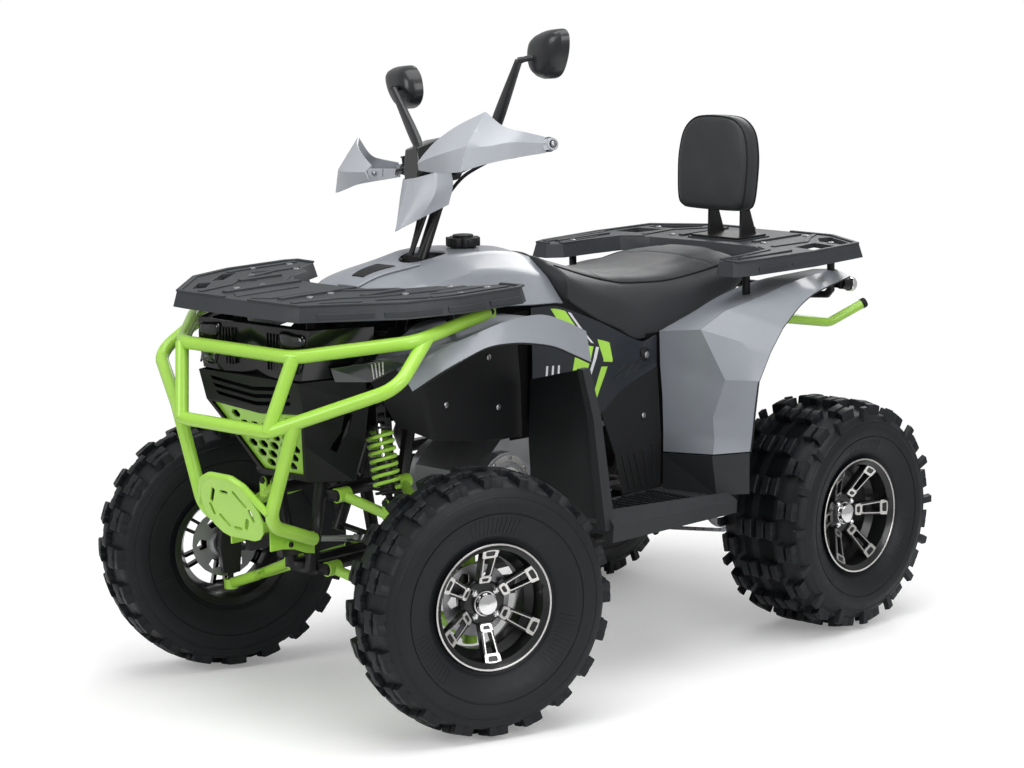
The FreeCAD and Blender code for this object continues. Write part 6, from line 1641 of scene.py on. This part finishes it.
def mirrors():
    arm_line = [MIRROR_BASE, MIRROR_BASE + (MIRROR_JOINT - MIRROR_BASE) * 0.322, MIRROR_JOINT]
    sizes = [(11, 9), (15, 9), (8, 7)]
    rows = []
    for k in range(25):
        t = 2 * k / 24
        c, (wide, deep) = spline(arm_line, t), spline(sizes, t)
        row = []
        for m in range(20):
            a = 2 * math.pi * m / 20
            ca, sa = math.cos(a), math.sin(a)
            ca, sa = math.copysign(abs(ca) ** 0.7, ca), math.copysign(abs(sa) ** 0.7, sa)
            row.append(c + arr((deep * ca, wide * sa, -0.6 * wide * sa)))
        rows.append(row)
    toward = (MIRROR_HEAD - MIRROR_JOINT) / np.linalg.norm(MIRROR_HEAD - MIRROR_JOINT)
    neck = sweep([MIRROR_JOINT, MIRROR_JOINT + toward * 14, MIRROR_JOINT + toward * 40], [8.0, 6.4, 7.4], 20)
    x, y, z = MIRROR_HEAD
    outline = closed_spline([(-66, -26), (-64, 20), (-32, 46), (44, 50), (76, 36), (66, -8), (24, -50),
                             (-32, -52)], 7)
    loops = []
    for forward, scale, inward in ((-24, 0.93, 0), (-25, 0.975, 0), (-23, 0.995, 0), (-4, 0.98, 0),
                                   (6, 0.90, 1.5), (14, 0.78, 3), (19, 0.64, 4), (22, 0.44, 5),
                                   (23, 0.12, 5)):
        loops.append([(x + forward, y + a * scale - inward, z + b * scale) for a, b in outline])
    turned_mesh("mirror_shells", both(joined([lofted(rows), neck, lofted(loops)])), "mirror_black",
                32, node="mirrors")
    plate = [(x - 24.4, y + a * 0.9, z + b * 0.9) for a, b in outline]
    turned_mesh("mirror_glass", both(extruded(plate, (-1.4, 0, 0))), "glass", 30)


def cord_line(name, points, radius):
    curve = bpy.data.curves.new(name, "CURVE")
    curve.dimensions = "3D"
    curve.bevel_depth = radius * 0.001
    curve.bevel_resolution = 5
    curve.resolution_u = 10
    curve.use_fill_caps = True
    line = curve.splines.new("NURBS")
    places = steered(points) * 0.001
    line.points.add(len(places) - 1)
    for point, place in zip(line.points, places):
        point.co = (*place, 1.0)
    line.order_u = 3
    line.use_endpoint_u = True
    curve.materials.append(M["cable"])
    o = bpy.data.objects.new(name, curve)
    bpy.context.scene.collection.objects.link(o)
    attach(o, "steering")
    return o


def cables():
    hx, _, hz = BAR_HEAD
    low, mid, high = column_at(955.0), column_at(1070.0), column_at(1080.0)
    for name, side, spread, low_x, low_y in (("left", 1, 0, 22, 26), ("right", -1, 14, 20, -27)):
        o = cord_line("cable_" + name, [
            (hx - 26, side * 183, hz + 18), (hx - 2, side * 148, hz + 4), (hx + 20 + spread, side * 96,
                                                                           hz - 16 - spread),
            (mid[0] + 18, side * 36, 1070), (low[0] + low_x, low_y, 955),
        ], 4.0)
    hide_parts("bar_cables")
    cord_line("pod_harness", [
        (hx + 60, 14, hz - 28), (hx + 59, 14, hz - 46), (high[0] + 30, 10, 1080), (low[0] + 32, -4, 955),
    ], 6.0)


# Frame, engine and running gear

def chain():
    """Side plates and rollers along the line round both sprockets."""
    y0, y1 = CHAIN_Y - 3, CHAIN_Y + 9
    x0, z0, big = -FRONT_X, REAR_TYRE_R, REAR_SPROCKET_R + CHAIN_ROLLER
    x1, z1, small = FRONT_SPROCKET
    small += CHAIN_ROLLER
    gap = math.hypot(x1 - x0, z1 - z0)
    lean = math.atan2(z1 - z0, x1 - x0)
    spread = math.asin((big - small) / gap)
    path = []
    top, low = lean + math.pi / 2 - spread, lean - math.pi / 2 + spread
    for k in range(49):
        a = top + (2 * math.pi - (top - low)) * k / 48
        path.append((x0 + big * math.cos(a), z0 + big * math.sin(a)))
    for k in range(25):
        a = low + (top - low) * k / 24
        path.append((x1 + small * math.cos(a), z1 + small * math.sin(a)))
    path = arr(path + [path[0]])
    lengths = np.concatenate([[0], np.cumsum(np.linalg.norm(np.diff(path, axis=0), axis=1))])
    count = int(round(lengths[-1] / CHAIN_PITCH / 2)) * 2
    marks = lengths[-1] * np.arange(count) / count
    spots = np.stack([np.interp(marks, lengths, path[:, axis]) for axis in (0, 1)], axis=1)
    parts = []
    for k in range(count):
        a, b = spots[k], spots[(k + 1) % count]
        d = (b - a) / np.linalg.norm(b - a)
        n = arr((-d[1], d[0]))
        outline = []
        for c, e in ((b, 1), (a, -1)):
            for m in range(5):
                angle = math.pi / 2 - math.pi * m / 4
                outline.append(c + e * (d * math.cos(angle) * 4.4 + n * math.sin(angle) * 4.4))
        depth = (0.6, 2.2) if k % 2 else (2.3, 3.8)
        for start, end in ((y0 + depth[0], y0 + depth[1]), (y1 - depth[1], y1 - depth[0])):
            parts.append(extruded([(p[0], start, p[1]) for p in outline], (0, end - start, 0)))
        parts.append(sweep([(a[0], y0 + 0.4, a[1]), (a[0], y1 - 0.4, a[1])], 3.0, 8))
    add_part("chain_links", joined(parts), "steel", 30, node="drive_chain")


def running_gear():
    refined("frame", "black_metal", 61)
    refined("swingarm", "black_metal", 50, 1.2)
    refined("engine", "alloy", 35, 2.0)
    refined("exhaust", "black_metal", 61)
    refined("fuel_tank", "black", 40, 4.0)
    refined("fuel_cap", "black", 35, 1.4)
    refined("backrest_bracket", "black_metal", 35, 1.0)
    refined("rear_axle", "steel", 50, 1.0, body="rear_wheels")
    refined("rear_sprocket", "steel", 50, 0.6, body="rear_wheels")
    refined("rear_disc", "steel", 50, 0.5, body="rear_wheels")
    for side in ("left", "right"):
        refined("front_hub_" + side, "steel", 50, 0.6, body="wheel_front_" + side)
        refined("knuckle_" + side, "black_metal", 50, 1.4, body="knuckle_" + side)
        refined("tie_rod_" + side, "steel", 61, 0.4, body="tie_rod_" + side)
    cover = sweep([(215, 137, 432), (215, 141, 432), (215, 143, 432)], [50, 50, 46], 48)
    ring = revolve_part([(0, 62), (0, 78), (2.2, 77), (2.2, 63)], 60)
    shell = [cover, (ring[0] + arr((215, 128, 432)), ring[1])]
    add_part("engine_cover_rings", joined(shell), "machined")
    spots = []
    for k in range(8):
        a = 2 * math.pi * k / 8 + 0.2
        spots.append(((215 + 71 * math.cos(a), 130, 432 + 71 * math.sin(a)), (0, 1, 0)))
        spots.append(((190 + 80 * math.cos(a), -126, 430 + 80 * math.sin(a)), (0, -1, 0)))
    bolts("engine_bolts", spots, "steel", 5, 3)


def tail_lamps():
    chrome, red, black = [], [], []
    black.append(sweep([(-820, 300, 807), (-852, 300, 801.5)], 14.7, 32))
    black.append(box_part(-828, -809.8, 277, 306, 796, 818))
    axis = arr((-18, 0, -3)) / np.linalg.norm((18, 0, 3))
    base = arr((-850, 300, 802))
    chrome.append(sweep([base, base + axis * 1.5, base + axis * 14, base + axis * 16.5],
                        [16.4, 18, 18, 16.4], 40))
    red.append(sweep([base + axis * 14, base + axis * 17, base + axis * 18.2], [14.8, 14.2, 9.0], 40))
    add_part("tail_lamp_rings", both(joined(chrome)), "chrome", node="tail_lamps")
    add_part("tail_lamp_lenses", both(joined(red)), "red", 50)
    add_part("tail_lamp_bodies", both(joined(black)), "black")


# Camera, floor and light, in metres

CAMERA_ANGLES = (44.0876, 9.8459, -1.1415)  # azimuth, elevation and roll
CAMERA_TARGET = np.array([0.0553, 0.0, 0.6409])
CAMERA_DISTANCE = 7.3002
CAMERA_LENS = 108.31
LIGHTS = (
    ("top", (0.4, 0.6, 4.2), (4.0, 4.0), 130), ("left", (1.0, 5.0, 2.4), (3.0, 2.2), 85),
    ("front", (5.0, -0.6, 2.6), (2.6, 2.2), 75), ("rear", (-4.6, -2.0, 3.2), (2.6, 2.2), 60),
)


def white_light(nt, kind, strength):
    n = nt.nodes.new(kind)
    n.inputs["Color"].default_value = (1.0, 1.0, 1.0, 1)
    n.inputs["Strength"].default_value = strength
    return n.outputs[0]


def mixed(nt, share, first, second):
    n = nt.nodes.new("ShaderNodeMixShader")
    nt.links.new(share, n.inputs["Fac"])
    nt.links.new(first, n.inputs[1])
    nt.links.new(second, n.inputs[2])
    return n.outputs["Shader"]


def view():
    """The photograph's camera."""
    az, el, roll = (math.radians(a) for a in CAMERA_ANGLES)
    b = np.array([math.cos(az) * math.cos(el), math.sin(az) * math.cos(el), math.sin(el)])
    loc = CAMERA_TARGET + b * CAMERA_DISTANCE
    right = np.cross(-b, (0, 0, 1.0))
    right /= np.linalg.norm(right)
    up = np.cross(right, -b)
    c, s = math.cos(roll), math.sin(roll)
    camera = bpy.data.cameras.new("camera")
    camera.lens = CAMERA_LENS
    camera.sensor_width = 36.0
    camera.clip_end = 200
    o = bpy.data.objects.new("camera", camera)
    bpy.context.scene.collection.objects.link(o)
    m = Matrix.Identity(4)
    for col, vector in enumerate((right * c + up * s, up * c - right * s, b, loc)):
        for row in range(3):
            m[row][col] = vector[row]
    o.matrix_world = m
    bpy.context.scene.camera = o


def paper():
    """The floor: lit paper near the quad that fades to plain white further out."""
    me = bpy.data.meshes.new("floor")
    me.from_pydata([(-60, -60, -0.0015), (60, -60, -0.0015), (60, 60, -0.0015), (-60, 60, -0.0015)], [],
                   [(0, 1, 2, 3)])
    floor = bpy.data.objects.new("floor", me)
    bpy.context.scene.collection.objects.link(floor)
    mat = bpy.data.materials.new("floor_paper")
    mat.use_nodes = True
    nt = mat.node_tree
    bsdf = nt.nodes["Principled BSDF"]
    bsdf.inputs["Roughness"].default_value = 0.85
    bsdf.inputs["Specular IOR Level"].default_value = 0.1
    n = noise(nt, 3.0, 3.0)
    tone = ramp(nt, n.outputs["Fac"], [(0.3, (0.84, 0.84, 0.84)), (0.7, (0.88, 0.88, 0.88))])
    nt.links.new(tone.outputs["Color"], bsdf.inputs["Base Color"])
    where = nt.nodes.new("ShaderNodeTexCoord")
    far = nt.nodes.new("ShaderNodeVectorMath")
    far.operation = "LENGTH"
    nt.links.new(where.outputs["Object"], far.inputs[0])
    fade = nt.nodes.new("ShaderNodeMapRange")
    fade.interpolation_type = "SMOOTHSTEP"
    fade.inputs["From Min"].default_value = 1.1
    fade.inputs["From Max"].default_value = 2.6
    nt.links.new(far.outputs["Value"], fade.inputs["Value"])
    rays = nt.nodes.new("ShaderNodeLightPath")
    seen = nt.nodes.new("ShaderNodeMath")
    seen.operation = "MAXIMUM"
    nt.links.new(rays.outputs["Is Camera Ray"], seen.inputs[0])
    nt.links.new(rays.outputs["Is Transmission Ray"], seen.inputs[1])
    emission = "ShaderNodeEmission"
    plain = mixed(nt, seen.outputs["Value"], white_light(nt, emission, 0.45), white_light(nt, emission, 1.0))
    lift = mixed(nt, rays.outputs["Is Camera Ray"], white_light(nt, emission, 0.0),
                 white_light(nt, emission, 0.22))
    near = nt.nodes.new("ShaderNodeAddShader")
    nt.links.new(bsdf.outputs["BSDF"], near.inputs[0])
    nt.links.new(lift, near.inputs[1])
    whole = mixed(nt, fade.outputs["Result"], near.outputs["Shader"], plain)
    nt.links.new(whole, nt.nodes["Material Output"].inputs["Surface"])
    me.materials.append(mat)


def studio():
    scene = bpy.context.scene
    view()
    paper()
    world = bpy.data.worlds.new("studio")
    scene.world = world
    world.use_nodes = True
    nt = world.node_tree
    nt.nodes.clear()
    out = nt.nodes.new("ShaderNodeOutputWorld")
    rays = nt.nodes.new("ShaderNodeLightPath")
    background = "ShaderNodeBackground"
    sky = mixed(nt, rays.outputs["Is Camera Ray"], white_light(nt, background, 0.46),
                white_light(nt, background, 1.0))
    nt.links.new(sky, out.inputs["Surface"])
    for name, loc, size, power in LIGHTS:
        light = bpy.data.lights.new(name, "AREA")
        light.shape = "RECTANGLE"
        light.size, light.size_y = size
        light.energy = power
        o = bpy.data.objects.new(name, light)
        o.location = loc
        o.rotation_euler = (Vector((0, 0, 0.6)) - Vector(loc)).to_track_quat("-Z", "Y").to_euler()
        scene.collection.objects.link(o)
    scene.view_settings.view_transform = "Standard"


for build in (
    tyres, rims, bumper, racks, rear_bar, suspension, dampers,
    fenders, tank_cover, joint_strips, side_panels, heels_and_guards, seat, backrest,
    footwells, nose, upper_lamps, lower_lamps, handlebar, grips,
    controls, pod, fairing, guards, mirrors, cables, running_gear, chain, tail_lamps, studio,
):
    build()
